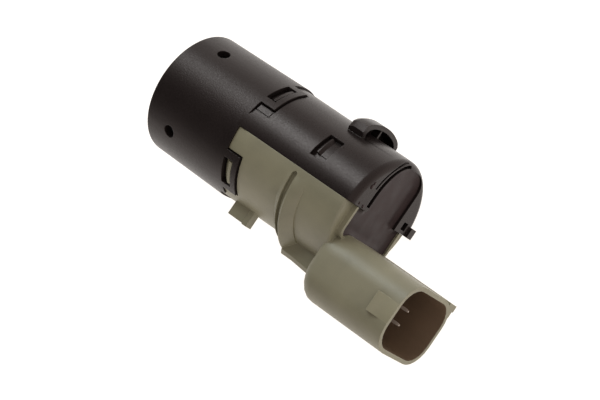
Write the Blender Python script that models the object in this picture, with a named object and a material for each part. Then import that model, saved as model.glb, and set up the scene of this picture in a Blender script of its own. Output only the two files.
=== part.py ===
"""Ultrasonic parking sensor: a push-in barrel with a moulded plug socket.

Units are metres. The barrel lies along Y: the sensing face is at y = 0 and looks along -Y,
the plug socket is on the +X side and its mouth looks along +Y. Angles about the barrel are
measured from +Z towards +X, so +X is 90 degrees and the two seams lie at 0 and 180 degrees.
"""
import math

import bmesh
import bpy
from mathutils import Vector

# Fits
SEAT = 0.0003                    # clearance between pieces that touch
BITE = 0.0005                    # how far a moulded feature starts inside its own wall
SINK = 0.00005                   # how far a surface that fades out ends below its neighbour

# Front sleeve
BARREL_RADIUS = 0.01225
SLEEVE_LENGTH = 0.0208
SLEEVE_DRAFT = 0.0002            # growth of the sleeve's radius towards its rear
SLEEVE_WALL = 0.0013
SLEEVE_EDGE = 0.0005
SLEEVE_TURN = math.radians(-2.7)
RIM_LIP_LENGTH = 0.0010
RIM_LIP_HEIGHT = 0.0009
HOLE_RADIUS = 0.00125
HOLE_FROM_FACE = 0.0063
TAB_COUNT = 4
TAB_HALF_WIDTH = math.radians(19.8)
TAB_LENGTH = 0.0034
TAB_THICKNESS = 0.0009
WINDOW_HALF_WIDTH = math.radians(13)
WINDOW_LENGTH = 0.0023
WINDOW_END_BAR = 0.0012
NOSE_PLAY = 0.0004
NOSE_STEP = 0.0002
NOSE_SLOPE = 0.0011
KEY_HALF_WIDTH = math.radians(17)
KEY_DEPTH = 0.0024
BLUNT_END = 0.05                 # share of the half width, squared, left at a rounded end

# Barrel shells behind the sleeve
SHELL_PAST_HOUSING = 0.0011      # the black half ends this far behind the grey one
SHELL_DRAFT = 0.00033            # loss of radius towards the shells' rear
SHELL_WALL = 0.0012
SHELL_EDGE = 0.0010               # rounding of the black half's rear edge
HOUSING_EDGE = 0.0005
END_WALL = 0.0022
NECK_WALL = 0.0011
TONGUE_WALL = 0.0006
TONGUE_REACH = math.radians(7)
TONGUE_ROOT = math.radians(12)
TONGUE_BACK = math.radians(1.5)
RAIL_DEPTH = 0.0011
RAIL_THICKNESS = 0.0009
RAIL_LENGTH = 0.0170

# Shell: retaining hood, latch pocket and rear well
HOOD_FROM_REAR = 0.0127
HOOD_LENGTH = 0.0035
HOOD_HEIGHT = 0.0025
HOOD_HALF_WIDTH = math.radians(30)
HOOD_SHOULDER = math.radians(11)
HOOD_WALL = 0.0009
HOOD_RIB = math.radians(2.2)
HOOD_END_RISE = 0.45
HOOD_NOSE = 0.0005
POCKET_FROM_REAR = 0.0130
POCKET_LENGTH = 0.0035
POCKET_NEAR = math.radians(14.6)
POCKET_FAR = math.radians(41)
POCKET_DEPTH = 0.0010
POCKET_PLATE_RISE = 0.0007
POCKET_PLATE_TAIL = 0.00015
POCKET_CREST = 0.0003
POCKET_MOAT = 0.0007
POCKET_SIDE_MOAT = 0.0011
POCKET_SLOPE = 0.0005
WELL_NEAR = 0.0066
WELL_FAR = 0.0060
WELL_CORNER = 0.0035
WELL_LIP = 0.0004
WELL_GROOVE = 0.0004
WELL_GROOVE_DEPTH = 0.0008
VENT_SIDE = 0.0015
VENT_DEPTH = 0.0016
VENT_FROM_SEAM = 0.0015
VENT_FROM_EDGE = 0.0035
SEAM_STEP_WIDTH = 0.0020
SEAM_STEP_RISE = 0.0005

# Housing: groove, flange, lug, boss and rear lip
GROOVE_START = math.radians(4.5)
GROOVE_END = math.radians(74)
GROOVE_WIDTH = 0.0011
GROOVE_FROM_REAR = 0.0119
GROOVE_DEPTH = 0.0009
COLLAR_LENGTH = 0.0018
COLLAR_SHIFT = 0.0012
FLANGE_FROM_GROOVE = 0.0007
FLANGE_LIP = 0.0006
FLANGE_SLOPE = 0.0020
FLANGE_SHIFT = 0.0024
FLANGE_ROOT = 0.8
FLANGE_TAIL = 0.15
LUG_SETBACK = 0.0020
LUG_LENGTH = 0.0049
LUG_LOW = 0.0014                 # the lug stands to one side of the barrel's middle plane
LUG_HIGH = 0.0030
LUG_HEIGHT = 0.0024
LUG_RIDGE_LENGTH = 0.0011
LUG_RIDGE_RISE = 0.0003
BOSS_HALF_WIDTH = 0.0035
BOSS_HEIGHT = 0.0028
BOSS_EDGE = 0.0007
HOUSING_WELL_MARGIN = 0.0022
HOUSING_WELL_LAP = 0.00085
HOUSING_WELL_CORNER = 0.0014
HOUSING_LIP = 0.0006
HOUSING_LIP_RISE = 0.0010

# Plug socket
SOCKET_INSET = 0.0005            # the socket's centre lies this far inside the barrel's edge
SOCKET_HALF_WIDTH = 0.0060
SOCKET_HALF_HEIGHT = 0.00825
SOCKET_WALL = 0.0008
SOCKET_CORNER = 0.0040
SOCKET_LENGTH = 0.0199
SOCKET_DEPTH = 0.0130
SOCKET_FLOOR = 0.0014
SOCKET_LAP = 0.0012              # the socket starts this far in front of the housing's rear
SOCKET_NOSE = 0.0026
SOCKET_NOSE_DROP = 0.4
PASSAGE_LENGTH = 0.0026
CATCH_HALF_WIDTH = 0.0020
CATCH_LENGTH = 0.0028
CATCH_RISE = 0.0007
CATCH_SETBACK = 0.0018
KEY_RIB = 0.0013
KEY_FILL = 0.0026                # side of the block that fills the socket's round corner
KEY_STEP = 0.0004

# Contact pins
PIN_SIDE = 0.00064
PIN_PITCH = 0.0029
PIN_LOWER = -0.0013
PIN_UPPER = 0.0024
PIN_RECESS = 0.0033
PIN_CLEARANCE = 0.0003
PIN_FOOT_PITCH = 0.00135
PIN_FOOT_INSET = 0.00226
PIN_FOOT_LENGTH = 0.0030

# Circuit board and what it carries
# A component's place is (distance inside the +X edge, or the -X edge if negative, distance
# behind the front edge); its size is (x, y, z).
BOARD_LENGTH = 0.0227
BOARD_THICKNESS = 0.0010
CHIP_PLACE = (0.0054, 0.0152)
CHIP_SIZE = (0.0050, 0.0062, 0.0015)
STORAGE_PLACE = (-0.0045, 0.0169)
STORAGE_SIZE = (0.0042, 0.0034, 0.0026)
FILTER_1_PLACE = (0.0050, 0.0040)
FILTER_1_SIZE = (0.0020, 0.00125, 0.0009)
FILTER_2_PLACE = (-0.0060, 0.0079)
FILTER_2_SIZE = (0.0032, 0.0016, 0.0011)
RESISTOR_SIZE = (0.0020, 0.00125, 0.00055)
RESISTOR_1_PLACE = (0.0035, 0.0094)
RESISTOR_2_PLACE = (0.0058, 0.0114)
DIODE_PLACE = (0.0064, 0.0162)
DIODE_SIZE = (0.0026, 0.0016, 0.0011)
TRANSFORMER_INSET = 0.0058
TRANSFORMER_FROM_FRONT = 0.0074
BOBBIN_RADIUS = 0.0040
BOBBIN_BORE = 0.0017
BOBBIN_GROOVE = 0.0014
BOBBIN_FLANGE = 0.0007
BOBBIN_HEIGHT = 0.0055
CORE_CAP = 0.0012
COMPONENT_CHAMFER = 0.12
RESIN_BELOW_RIM = 0.0009

# Transducer
RING_WALL = 0.00275
CUP_FACE = 0.0008
CUP_WALL = 0.0009
CUP_LENGTH = 0.0088
CUP_FLANGE = 0.0007
RING_LENGTH = 0.0112
RING_PLAY = 0.0011               # between the silicone ring and the shells' neck
PIEZO_RADIUS = 0.0034
PIEZO_THICKNESS = 0.0004
PAD_LENGTH = 0.0060
WIRE_RADIUS = 0.00030
WIRE_SPACING = 0.0024
WIRE_STEP = 0.0010

# Facet counts and the distance within which corners are welded
TURN_STEPS = 96
FACE_STEPS = 64
INNER_STEPS = 32
CORNER_STEPS = 6
STEP_ANGLE = math.radians(3.8)
WELD = 0.000002

# Sizes worked out from those above
SLEEVE_BORE = BARREL_RADIUS - SLEEVE_WALL
NECK_RADIUS = SLEEVE_BORE - SEAT
NECK_START = RING_LENGTH + RING_PLAY
SHOULDER = SLEEVE_LENGTH + SEAT
INNER_START = SHOULDER + SHELL_WALL
SHELL_REAR_RADIUS = BARREL_RADIUS - SHELL_DRAFT
INNER_RADIUS = SHELL_REAR_RADIUS - SHELL_WALL
BOARD_START = INNER_START + SEAT
BOARD_END = BOARD_START + BOARD_LENGTH
HOUSING_LENGTH = BOARD_END + SEAT + END_WALL
SHELL_LENGTH = HOUSING_LENGTH + SHELL_PAST_HOUSING
HOOD_START = SHELL_LENGTH - HOOD_FROM_REAR
POCKET_START = SHELL_LENGTH - POCKET_FROM_REAR
GROOVE_PLACE = HOUSING_LENGTH - GROOVE_FROM_REAR
FLANGE_START = GROOVE_PLACE + FLANGE_FROM_GROOVE
COLLAR_START = GROOVE_PLACE - COLLAR_LENGTH
LUG_START = SHOULDER + LUG_SETBACK
TAB_END = SLEEVE_LENGTH + TAB_LENGTH
TAB_TOP = BARREL_RADIUS + SLEEVE_DRAFT
TAB_FLOOR = TAB_TOP - TAB_THICKNESS
WINDOW_END = TAB_END - WINDOW_END_BAR
WINDOW_START = WINDOW_END - WINDOW_LENGTH
SOCKET_START = HOUSING_LENGTH - SOCKET_LAP
SOCKET_MOUTH = SOCKET_START + SOCKET_LENGTH
SOCKET_FLOOR_TOP = SOCKET_MOUTH - SOCKET_DEPTH
SOCKET_FLOOR_BACK = SOCKET_FLOOR_TOP - SOCKET_FLOOR
SOCKET_CENTRE = BARREL_RADIUS - SOCKET_INSET
OUTER_HALF_WIDTH = SOCKET_HALF_WIDTH + SOCKET_WALL
OUTER_HALF_HEIGHT = SOCKET_HALF_HEIGHT + SOCKET_WALL
OUTER_CORNER = SOCKET_CORNER + SOCKET_WALL
SOCKET_LEFT = SOCKET_CENTRE - OUTER_HALF_WIDTH
HOUSING_WELL_HALF = INNER_RADIUS - HOUSING_WELL_MARGIN
HOUSING_WELL_REACH = SOCKET_LEFT + HOUSING_WELL_LAP
PIN_TIP = SOCKET_MOUTH - PIN_RECESS
BOARD_TOP = PIN_LOWER - PIN_SIDE / 2 - SEAT
BOARD_BOTTOM = BOARD_TOP - BOARD_THICKNESS
RESIN_TOP = SHELL_LENGTH - RESIN_BELOW_RIM
RESIN_BOTTOM = SHELL_LENGTH - END_WALL + SEAT / 2
BOARD_HALF_WIDTH = math.sqrt(INNER_RADIUS**2 - BOARD_BOTTOM**2) - SEAT
CUP_RADIUS = NECK_RADIUS - RING_WALL - SEAT
SEAM = SEAT / 2
FAR = 0.05                       # reach of a cutting block, beyond every piece


def shell_radius(y):
    """Outer radius of the two shells, which taper slightly for moulding."""
    return BARREL_RADIUS - SHELL_DRAFT * y / SHELL_LENGTH


def around(angle, radius, y):
    """Point at an angle about the barrel."""
    return Vector((radius * math.sin(angle), y, radius * math.cos(angle)))


def steps_between(start, end, step=STEP_ANGLE):
    """Evenly spaced values from start to end, no further apart than step."""
    count = max(1, math.ceil(abs(end - start) / step))
    return [start + (end - start) * i / count for i in range(count + 1)]


def add_mesh(name, points, faces):
    """A mesh object from points and faces, with its faces turned outwards."""
    mesh = bpy.data.meshes.new(name)
    mesh.from_pydata(points, [], faces)
    shaped = bmesh.new()
    shaped.from_mesh(mesh)
    bmesh.ops.recalc_face_normals(shaped, faces=shaped.faces)
    shaped.to_mesh(mesh)
    shaped.free()
    item = bpy.data.objects.new(name, mesh)
    bpy.context.collection.objects.link(item)
    return item


def loft(name, rings):
    """A closed body through rings with equal numbers of points, capped at both ends."""
    count = len(rings[0])
    points = [point for ring in rings for point in ring]
    faces = [list(range(count))]
    faces.append([(len(rings) - 1) * count + i for i in range(count)])
    for row in range(len(rings) - 1):
        for i in range(count):
            j = (i + 1) % count
            low, high = row * count, (row + 1) * count
            faces.append([low + i, low + j, high + j, high + i])
    return add_mesh(name, points, faces)


def prism(name, outline, start, end):
    """A body with an (x, z) outline, extruded along Y."""
    return loft(name, [[Vector((x, y, z)) for x, z in outline] for y in (start, end)])


def block(name, low, high):
    """A rectangular body between two corners."""
    outline = [(low[0], low[2]), (high[0], low[2]), (high[0], high[2]), (low[0], high[2])]
    return prism(name, outline, low[1], high[1])


def swept(name, sections):
    """A body through (angle, [(radius, y), ...]) sections about the barrel."""
    return loft(name, [[around(angle, r, y) for r, y in ring] for angle, ring in sections])


def turned(name, profile, steps=TURN_STEPS, place=around):
    """A revolved body from a closed (along, radius) profile that may touch its axis."""
    points, rows = [], []
    for along, radius in profile:
        if radius == 0:
            rows.append([len(points)] * steps)
            points.append(place(0, 0, along))
        else:
            rows.append([len(points) + i for i in range(steps)])
            points += [place(math.tau * i / steps, radius, along) for i in range(steps)]
    faces = []
    for this, following in zip(rows, rows[1:] + rows[:1]):
        for i in range(steps):
            j = (i + 1) % steps
            corners = dict.fromkeys([this[i], this[j], following[j], following[i]])
            if len(corners) > 2:
                faces.append(list(corners))
    return add_mesh(name, points, faces)


def rounded_outline(x, z, half_width, half_height, corner):
    """An (x, z) rectangle about a centre, with round corners."""
    outline = []
    for quarter, (sx, sz) in enumerate(((1, 1), (-1, 1), (-1, -1), (1, -1))):
        for step in range(CORNER_STEPS + 1):
            angle = math.pi / 2 * (quarter + step / CORNER_STEPS)
            outline.append((x + sx * (half_width - corner) + corner * math.cos(angle),
                            z + sz * (half_height - corner) + corner * math.sin(angle)))
    return outline


def combine(body, tool, operation):
    """Applies a Boolean to body with tool, and removes tool."""
    step = body.modifiers.new(operation, "BOOLEAN")
    step.operation = operation
    step.solver = "EXACT"
    step.object = tool
    evaluated = body.evaluated_get(bpy.context.evaluated_depsgraph_get())
    mesh = bpy.data.meshes.new_from_object(evaluated)
    body.modifiers.clear()
    welded = bmesh.new()
    welded.from_mesh(mesh)
    bmesh.ops.remove_doubles(welded, verts=welded.verts, dist=WELD)
    welded.to_mesh(mesh)
    welded.free()
    body.data = mesh
    bpy.data.objects.remove(tool)
    return body


def join(body, *tools):
    """Adds each tool to the body."""
    for tool in tools:
        combine(body, tool, "UNION")
    return body


def cut(body, *tools):
    """Takes each tool out of the body."""
    for tool in tools:
        combine(body, tool, "DIFFERENCE")
    return body


def finish(item, name, colour, roughness, metallic=0.0):
    """Names the piece, shades it and gives it its own material."""
    item.name = name
    item.data.name = name
    material = bpy.data.materials.new(name)
    material.use_nodes = True
    shader = material.node_tree.nodes["Principled BSDF"]
    shader.inputs["Base Color"].default_value = (*colour, 1.0)
    shader.inputs["Roughness"].default_value = roughness
    shader.inputs["Metallic"].default_value = metallic
    item.data.materials.clear()
    item.data.materials.append(material)
    item.data.shade_smooth()
    item.data.set_sharp_from_angle(angle=math.radians(30))
    return item


BLACK_PLASTIC = (0.020, 0.018, 0.018)
GREY_PLASTIC = (0.200, 0.185, 0.130)
RESIN = (0.016, 0.013, 0.014)
SILICONE = (0.015, 0.015, 0.016)
PAINTED_METAL = (0.025, 0.025, 0.027)
FOAM = (0.10, 0.10, 0.11)
CERAMIC = (0.62, 0.58, 0.48)
BOARD_GREEN = (0.02, 0.13, 0.06)
TINNED = (0.62, 0.61, 0.58)
COPPER = (0.70, 0.33, 0.16)
FERRITE = (0.05, 0.05, 0.055)
CHIP = (0.02, 0.02, 0.022)
TANTALUM = (0.45, 0.22, 0.03)


def tab_angles():
    """Centres of the four sleeve tabs, and of the holes in line with them."""
    return [SLEEVE_TURN + math.pi / TAB_COUNT * (2 * i + 1) for i in range(TAB_COUNT)]


def box_section(low, high, start, end):
    """(radius, y) corners of a rectangular section."""
    return [(low, start), (high, start), (high, end), (low, end)]


def arc_band(name, centre, half_width, low, high, start, end):
    """A band of constant section about the barrel."""
    angles = steps_between(centre - half_width, centre + half_width)
    return swept(name, [(a, box_section(low, high, start, end)) for a in angles])


def sleeve_wall():
    """The turned sleeve out to the tabs' ends, with a lip that stops the silicone ring."""
    edge = [(SLEEVE_EDGE * (1 - math.cos(t)), BARREL_RADIUS - SLEEVE_EDGE * (1 - math.sin(t)))
            for t in steps_between(0, math.pi / 2, math.radians(30))]
    return turned("sleeve", edge + [
        (SLEEVE_LENGTH, TAB_TOP), (TAB_END, TAB_TOP), (TAB_END, TAB_FLOOR),
        (SLEEVE_LENGTH, TAB_FLOOR), (SLEEVE_LENGTH, SLEEVE_BORE), (RIM_LIP_LENGTH, SLEEVE_BORE),
        (RIM_LIP_LENGTH, SLEEVE_BORE - RIM_LIP_HEIGHT), (0, SLEEVE_BORE - RIM_LIP_HEIGHT)])


def front_sleeve():
    """Sleeve with four holes, four latch tabs with windows, and a notch for the key."""
    sleeve = sleeve_wall()
    half_gap = math.pi / TAB_COUNT - TAB_HALF_WIDTH
    for centre in tab_angles():
        cut(sleeve, arc_band("gap", centre + math.pi / TAB_COUNT, half_gap, TAB_FLOOR - BITE,
                             TAB_TOP + BITE, SLEEVE_LENGTH, TAB_END + BITE))
        cut(sleeve, arc_band("window", centre, WINDOW_HALF_WIDTH, NECK_RADIUS, TAB_TOP + SEAT,
                             WINDOW_START, WINDOW_END))
        cut(sleeve, radial_pin("hole", centre, HOLE_FROM_FACE, HOLE_RADIUS))
    cut(sleeve, key_band("notch", SEAT, TAB_TOP + SEAT))
    return finish(sleeve, "front_sleeve", BLACK_PLASTIC, 0.5)


def radial_pin(name, angle, y, radius, sides=20):
    """A round cutter that points out of the barrel through its wall."""
    out = around(angle, 1, 0)
    side = Vector((0, 1, 0)).cross(out)
    rings = []
    for reach in (NECK_RADIUS, TAB_TOP + BITE):
        rings.append([out * reach + Vector((0, y, 0)) + side * (radius * math.cos(t))
                      + Vector((0, radius * math.sin(t), 0))
                      for t in (math.tau * i / sides for i in range(sides))])
    return loft(name, rings)


def key_band(name, play, top):
    """The round-ended key at +X, which stands into the sleeve's rear edge."""
    sections = []
    half = KEY_HALF_WIDTH + play / TAB_TOP
    for a in steps_between(-half, half):
        depth = (KEY_DEPTH + play) * math.sqrt(max(BLUNT_END, 1 - (a / half)**2))
        front = SLEEVE_LENGTH - depth
        sections.append((math.pi / 2 + a, box_section(NECK_RADIUS - BITE, top, front,
                                                      SHOULDER + BITE)))
    return swept(name, sections)


def barrel_solid(name, length, edge_radius):
    """Neck and barrel of one shell as a full turned body, before it is hollowed and halved."""
    edge = [(length - edge_radius * (1 - math.sin(t)),
             shell_radius(length) - edge_radius * (1 - math.cos(t)))
            for t in steps_between(0, math.pi / 2, math.radians(23))]
    return turned(name, [(NECK_START, 0), (NECK_START, NECK_RADIUS), (SHOULDER, NECK_RADIUS),
                         (SHOULDER, shell_radius(SHOULDER))] + edge + [(length, 0)])


def hollow(body, length):
    """Cuts the inside of the neck and the barrel, up to the end wall."""
    neck_inner = NECK_RADIUS - NECK_WALL
    back = length - END_WALL
    return cut(body, turned("hollow", [
        (NECK_START - BITE, 0), (NECK_START - BITE, neck_inner), (INNER_START, neck_inner),
        (INNER_START, INNER_RADIUS), (back, INNER_RADIUS), (back, 0)]))


def keep_side(body, side):
    """Keeps the half of a body on one side of the seam plane; side is -1 for the rear shell."""
    keep = sorted((side * SEAM, side * FAR))
    half = block("half", (keep[0], -FAR, -FAR), (keep[1], 2 * FAR, FAR))
    return combine(body, half, "INTERSECT")


def side_tabs(side):
    """Angles of the sleeve tabs that lie over one shell."""
    return [a for a in tab_angles() if side * math.sin(a) > 0]


def latch_recesses(body, side):
    """Recesses that take the sleeve's tabs."""
    for centre in side_tabs(side):
        cut(body, arc_band("recess", centre, TAB_HALF_WIDTH + SEAT / TAB_TOP, TAB_FLOOR - SEAT,
                           TAB_TOP + BITE, SHOULDER - BITE, TAB_END + SEAT))


def latch_noses(body, side):
    """Sloped noses that stand in the windows of the sleeve's tabs."""
    start, end = WINDOW_START + SEAT, WINDOW_END - SEAT
    root, top = NECK_RADIUS - BITE, TAB_TOP - NOSE_STEP
    profile = [(root, start), (TAB_FLOOR, start), (top, start + NOSE_SLOPE), (top, end),
               (root, end)]
    half = WINDOW_HALF_WIDTH - NOSE_PLAY / TAB_TOP
    for centre in side_tabs(side):
        join(body, swept("nose", [(a, profile)
                                  for a in steps_between(centre - half, centre + half)]))


def board_rails(body, side):
    """Rails above and below the board's edge on one shell's inner wall."""
    for low in (BOARD_TOP + SEAT, BOARD_BOTTOM - SEAT - RAIL_THICKNESS):
        reach = math.sqrt(INNER_RADIUS**2 - max(abs(low), abs(low + RAIL_THICKNESS))**2)
        ends = sorted((side * (reach - RAIL_DEPTH), side * (reach + BITE)))
        join(body, block("rail", (ends[0], INNER_START - BITE, low),
                         (ends[1], INNER_START + RAIL_LENGTH, low + RAIL_THICKNESS)))


def hood_section(angle, shrink):
    """Outline of the hood at an angle from its middle; shrink leaves its wall."""
    half = HOOD_HALF_WIDTH - shrink / SHELL_REAR_RADIUS
    edge = min(1.0, (half - abs(angle)) / HOOD_SHOULDER)
    arch = math.sqrt(max(0.0, 1 - (1 - edge)**2))
    base = shell_radius(HOOD_START)
    root = base - BITE * (2 if shrink else 1)
    top = base + (HOOD_HEIGHT - shrink) * (HOOD_END_RISE + (1 - HOOD_END_RISE) * arch)
    start, end = HOOD_START + shrink, HOOD_START + HOOD_LENGTH + (BITE if shrink else 0)
    nose = 0 if shrink else HOOD_NOSE
    return [(root, start), (top - nose, start), (top, start + nose + BITE), (top, end),
            (root, end)]


def retaining_hood():
    """Hollow hood that hooks the holder: closed to the front, open to the rear."""
    middle = -math.pi / 2
    outer = swept("hood", [(middle + a, hood_section(a, 0)) for a in
                           steps_between(-HOOD_HALF_WIDTH, HOOD_HALF_WIDTH)])
    inner_half = HOOD_HALF_WIDTH - HOOD_WALL / SHELL_REAR_RADIUS
    inner = swept("hollow", [(middle + a, hood_section(a, HOOD_WALL)) for a in
                             steps_between(-inner_half, inner_half)])
    cut(outer, inner)
    rib = swept("rib", [(middle + a, box_section(
        shell_radius(HOOD_START) - BITE, shell_radius(HOOD_START) + HOOD_HEIGHT - HOOD_WALL / 2,
        HOOD_START + HOOD_WALL / 2, HOOD_START + HOOD_LENGTH - HOOD_WALL))
        for a in (-HOOD_RIB / 2, HOOD_RIB / 2)])
    return join(outer, rib)


def latch_pocket(body, side):
    """Pocket in the shell with a sloped latch plate and a deep moat; side picks the seam."""
    top = shell_radius(POCKET_START)
    floor = top - POCKET_DEPTH
    end = POCKET_START + POCKET_LENGTH

    def angle(value):
        return -value if side > 0 else -math.pi + value

    span = [angle(a) for a in steps_between(POCKET_NEAR, POCKET_FAR)]
    pad = box_section(INNER_RADIUS - POCKET_DEPTH, INNER_RADIUS + BITE / 2,
                      POCKET_START - SHELL_WALL, end + SHELL_WALL)
    join(body, swept("pad", [(a, pad) for a in span]))
    cut(body, swept("pocket", [(a, box_section(floor, top + BITE, POCKET_START, end))
                               for a in span]))
    front, back = POCKET_START + POCKET_MOAT, end - POCKET_MOAT / 2
    plate = [(floor - BITE / 2, front), (floor + POCKET_PLATE_RISE, front),
             (floor + POCKET_PLATE_RISE, front + POCKET_CREST),
             (floor + POCKET_PLATE_TAIL, front + POCKET_CREST + POCKET_SLOPE),
             (floor + POCKET_PLATE_TAIL, back), (floor - BITE / 2, back)]
    near = POCKET_NEAR + POCKET_SIDE_MOAT / top
    join(body, swept("plate", [(angle(a), plate)
                               for a in steps_between(near, POCKET_FAR - SEAT / top)]))


def well_outline(grow, right):
    """(x, z) outline of the shell's rear well, grown outwards and square on its right side."""
    top, bottom = WELL_NEAR + grow, -WELL_FAR - grow
    left = -INNER_RADIUS - grow
    corner = WELL_CORNER + grow
    outline = [(right, bottom), (right, top)]
    for z, start in ((top - corner, math.pi / 2), (bottom + corner, math.pi)):
        for t in steps_between(start, start + math.pi / 2, math.radians(15)):
            outline.append((left + corner + corner * math.cos(t), z + corner * math.sin(t)))
    return outline


def shell_well(body):
    """Well for the resin, its thin lip with a groove beside it, the vent and the seam step."""
    ring = prism("groove", well_outline(WELL_LIP + WELL_GROOVE, -WELL_LIP),
                 SHELL_LENGTH - WELL_GROOVE_DEPTH, SHELL_LENGTH + BITE)
    cut(ring, prism("lip", well_outline(WELL_LIP, FAR), -FAR, 2 * FAR),
        block("far side", (-FAR, -FAR, -FAR), (FAR, 2 * FAR, WELL_GROOVE)))
    well = prism("well", well_outline(0, FAR), SHELL_LENGTH - END_WALL - BITE,
                 SHELL_LENGTH + BITE)
    half = VENT_SIDE / 2
    x, z = -VENT_FROM_SEAM, VENT_FROM_EDGE - SHELL_REAR_RADIUS
    vent = block("vent", (x - half, SHELL_LENGTH - VENT_DEPTH, z - half),
                 (x + half, SHELL_LENGTH + 2 * BITE, z + half))
    return cut(body, ring, well, vent)


def seam_step():
    """Small step that stands behind and beside the rear edge at the far seam."""
    return block("seam step",
                 (-SEAM_STEP_WIDTH, SHELL_LENGTH - END_WALL / 2,
                  -SHELL_REAR_RADIUS - SEAM_STEP_RISE / 2),
                 (BITE, SHELL_LENGTH + SEAM_STEP_RISE, -SHELL_REAR_RADIUS + SHELL_WALL))


def seam_tongues(body):
    """Tongues behind both seams, which reach inside the housing's wall."""
    outer = INNER_RADIUS - SEAT
    start, end = SHOULDER + 2 * SHELL_WALL, HOUSING_LENGTH - END_WALL - SEAT
    for seam, turn in ((0, 1), (math.pi, -1)):
        root = [seam + turn * a for a in steps_between(-TONGUE_ROOT, -TONGUE_BACK)]
        reach = [seam + turn * a for a in steps_between(-TONGUE_ROOT - TONGUE_BACK, TONGUE_REACH)]
        tongue = swept("tongue", [(a, box_section(outer - TONGUE_WALL, outer, start, end))
                                  for a in reach])
        join(tongue, swept("root", [(a, box_section(
            outer - TONGUE_WALL / 2, INNER_RADIUS + BITE / 2, start + SEAT, end - SEAT))
            for a in root]))
        join(body, tongue)


def rear_shell():
    """Black half of the barrel, with the hood, the pockets and the well's rim."""
    body = barrel_solid("shell", SHELL_LENGTH, SHELL_EDGE)
    latch_recesses(body, -1)
    join(body, seam_step(), retaining_hood())
    hollow(body, SHELL_LENGTH)
    shell_well(body)
    for side in (1, -1):
        latch_pocket(body, side)
    keep_side(body, -1)
    latch_noses(body, -1)
    seam_tongues(body)
    board_rails(body, -1)
    return finish(body, "rear_shell", BLACK_PLASTIC, 0.45)


def flange():
    """Collar beside the groove and the flange that grows towards the plug side."""
    stations = [
        (COLLAR_START, 0.0), (GROOVE_PLACE - GROOVE_WIDTH / 2 - SEAT, COLLAR_SHIFT),
        (FLANGE_START, FLANGE_SHIFT * FLANGE_ROOT), (FLANGE_START + SEAT, FLANGE_SHIFT),
        (FLANGE_START + FLANGE_LIP, FLANGE_SHIFT),
        (FLANGE_START + FLANGE_LIP + FLANGE_SLOPE, FLANGE_SHIFT * FLANGE_TAIL)]
    rings = []
    for y, shift in stations:
        radius = shell_radius(y) - SINK
        rings.append([around(math.tau * i / TURN_STEPS, radius, y) + Vector((shift, 0, 0))
                      for i in range(TURN_STEPS)])
    return loft("flange", rings)


def groove(side):
    """Round-ended slot about the housing; side mirrors it to the other seam."""
    half = GROOVE_WIDTH / 2
    top = shell_radius(GROOVE_PLACE)
    sections = []
    for a in steps_between(GROOVE_START, GROOVE_END, STEP_ANGLE / 2):
        from_end = min(a - GROOVE_START, GROOVE_END - a) * top
        width = half * math.sqrt(max(BLUNT_END, 1 - max(0.0, 1 - from_end / half)**2))
        angle = a if side > 0 else math.pi - a
        shift = COLLAR_SHIFT * math.sin(a)
        sections.append((angle, box_section(top - GROOVE_DEPTH + shift, top + 2 * FLANGE_SHIFT,
                                            GROOVE_PLACE - width, GROOVE_PLACE + width)))
    return swept("groove", sections)


def lug():
    """Retaining lug opposite the hood, with a ridge at its rear end."""
    high = shell_radius(LUG_START) + LUG_HEIGHT
    end = LUG_START + LUG_LENGTH
    body = block("lug", (INNER_RADIUS - BITE, LUG_START, LUG_LOW), (high, end - SINK, LUG_HIGH))
    ridge = block("ridge", (INNER_RADIUS - BITE / 2, end - LUG_RIDGE_LENGTH,
                            LUG_LOW - LUG_RIDGE_RISE / 2),
                  (high + LUG_RIDGE_RISE / 2, end, LUG_HIGH + LUG_RIDGE_RISE / 2))
    return join(body, ridge)


def boss():
    """Block that ties the flange to the socket."""
    low = INNER_RADIUS - BITE
    high = shell_radius(FLANGE_START) + BOSS_HEIGHT
    start = FLANGE_START + FLANGE_LIP
    bend = start + FLANGE_SLOPE + BOSS_EDGE
    end = SOCKET_START + SOCKET_NOSE
    rings = []
    for y, rise in ((start, 0.0), (bend, 0.0), (end, BOSS_EDGE)):
        top = high + rise
        rings.append([Vector(p) for p in (
            (low, y, -BOSS_HALF_WIDTH), (top - BOSS_EDGE, y, -BOSS_HALF_WIDTH),
            (top, y, -BOSS_HALF_WIDTH + BOSS_EDGE), (top, y, BOSS_HALF_WIDTH - BOSS_EDGE),
            (top - BOSS_EDGE, y, BOSS_HALF_WIDTH), (low, y, BOSS_HALF_WIDTH))])
    return loft("boss", rings)


def socket_outline(y):
    """Outline of the socket's outside, drawn in where its front end is rounded."""
    into = min(SOCKET_NOSE, y - SOCKET_START)
    inset = SOCKET_NOSE - math.sqrt(SOCKET_NOSE**2 - (SOCKET_NOSE - into)**2)
    outline = rounded_outline(SOCKET_CENTRE, 0, OUTER_HALF_WIDTH, OUTER_HALF_HEIGHT, OUTER_CORNER)
    narrow = 1 - inset / (2 * OUTER_HALF_WIDTH)
    lower = 1 - inset * SOCKET_NOSE_DROP / OUTER_HALF_HEIGHT
    return [Vector((SOCKET_LEFT + (x - SOCKET_LEFT) * narrow, y, z * lower)) for x, z in outline]


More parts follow.
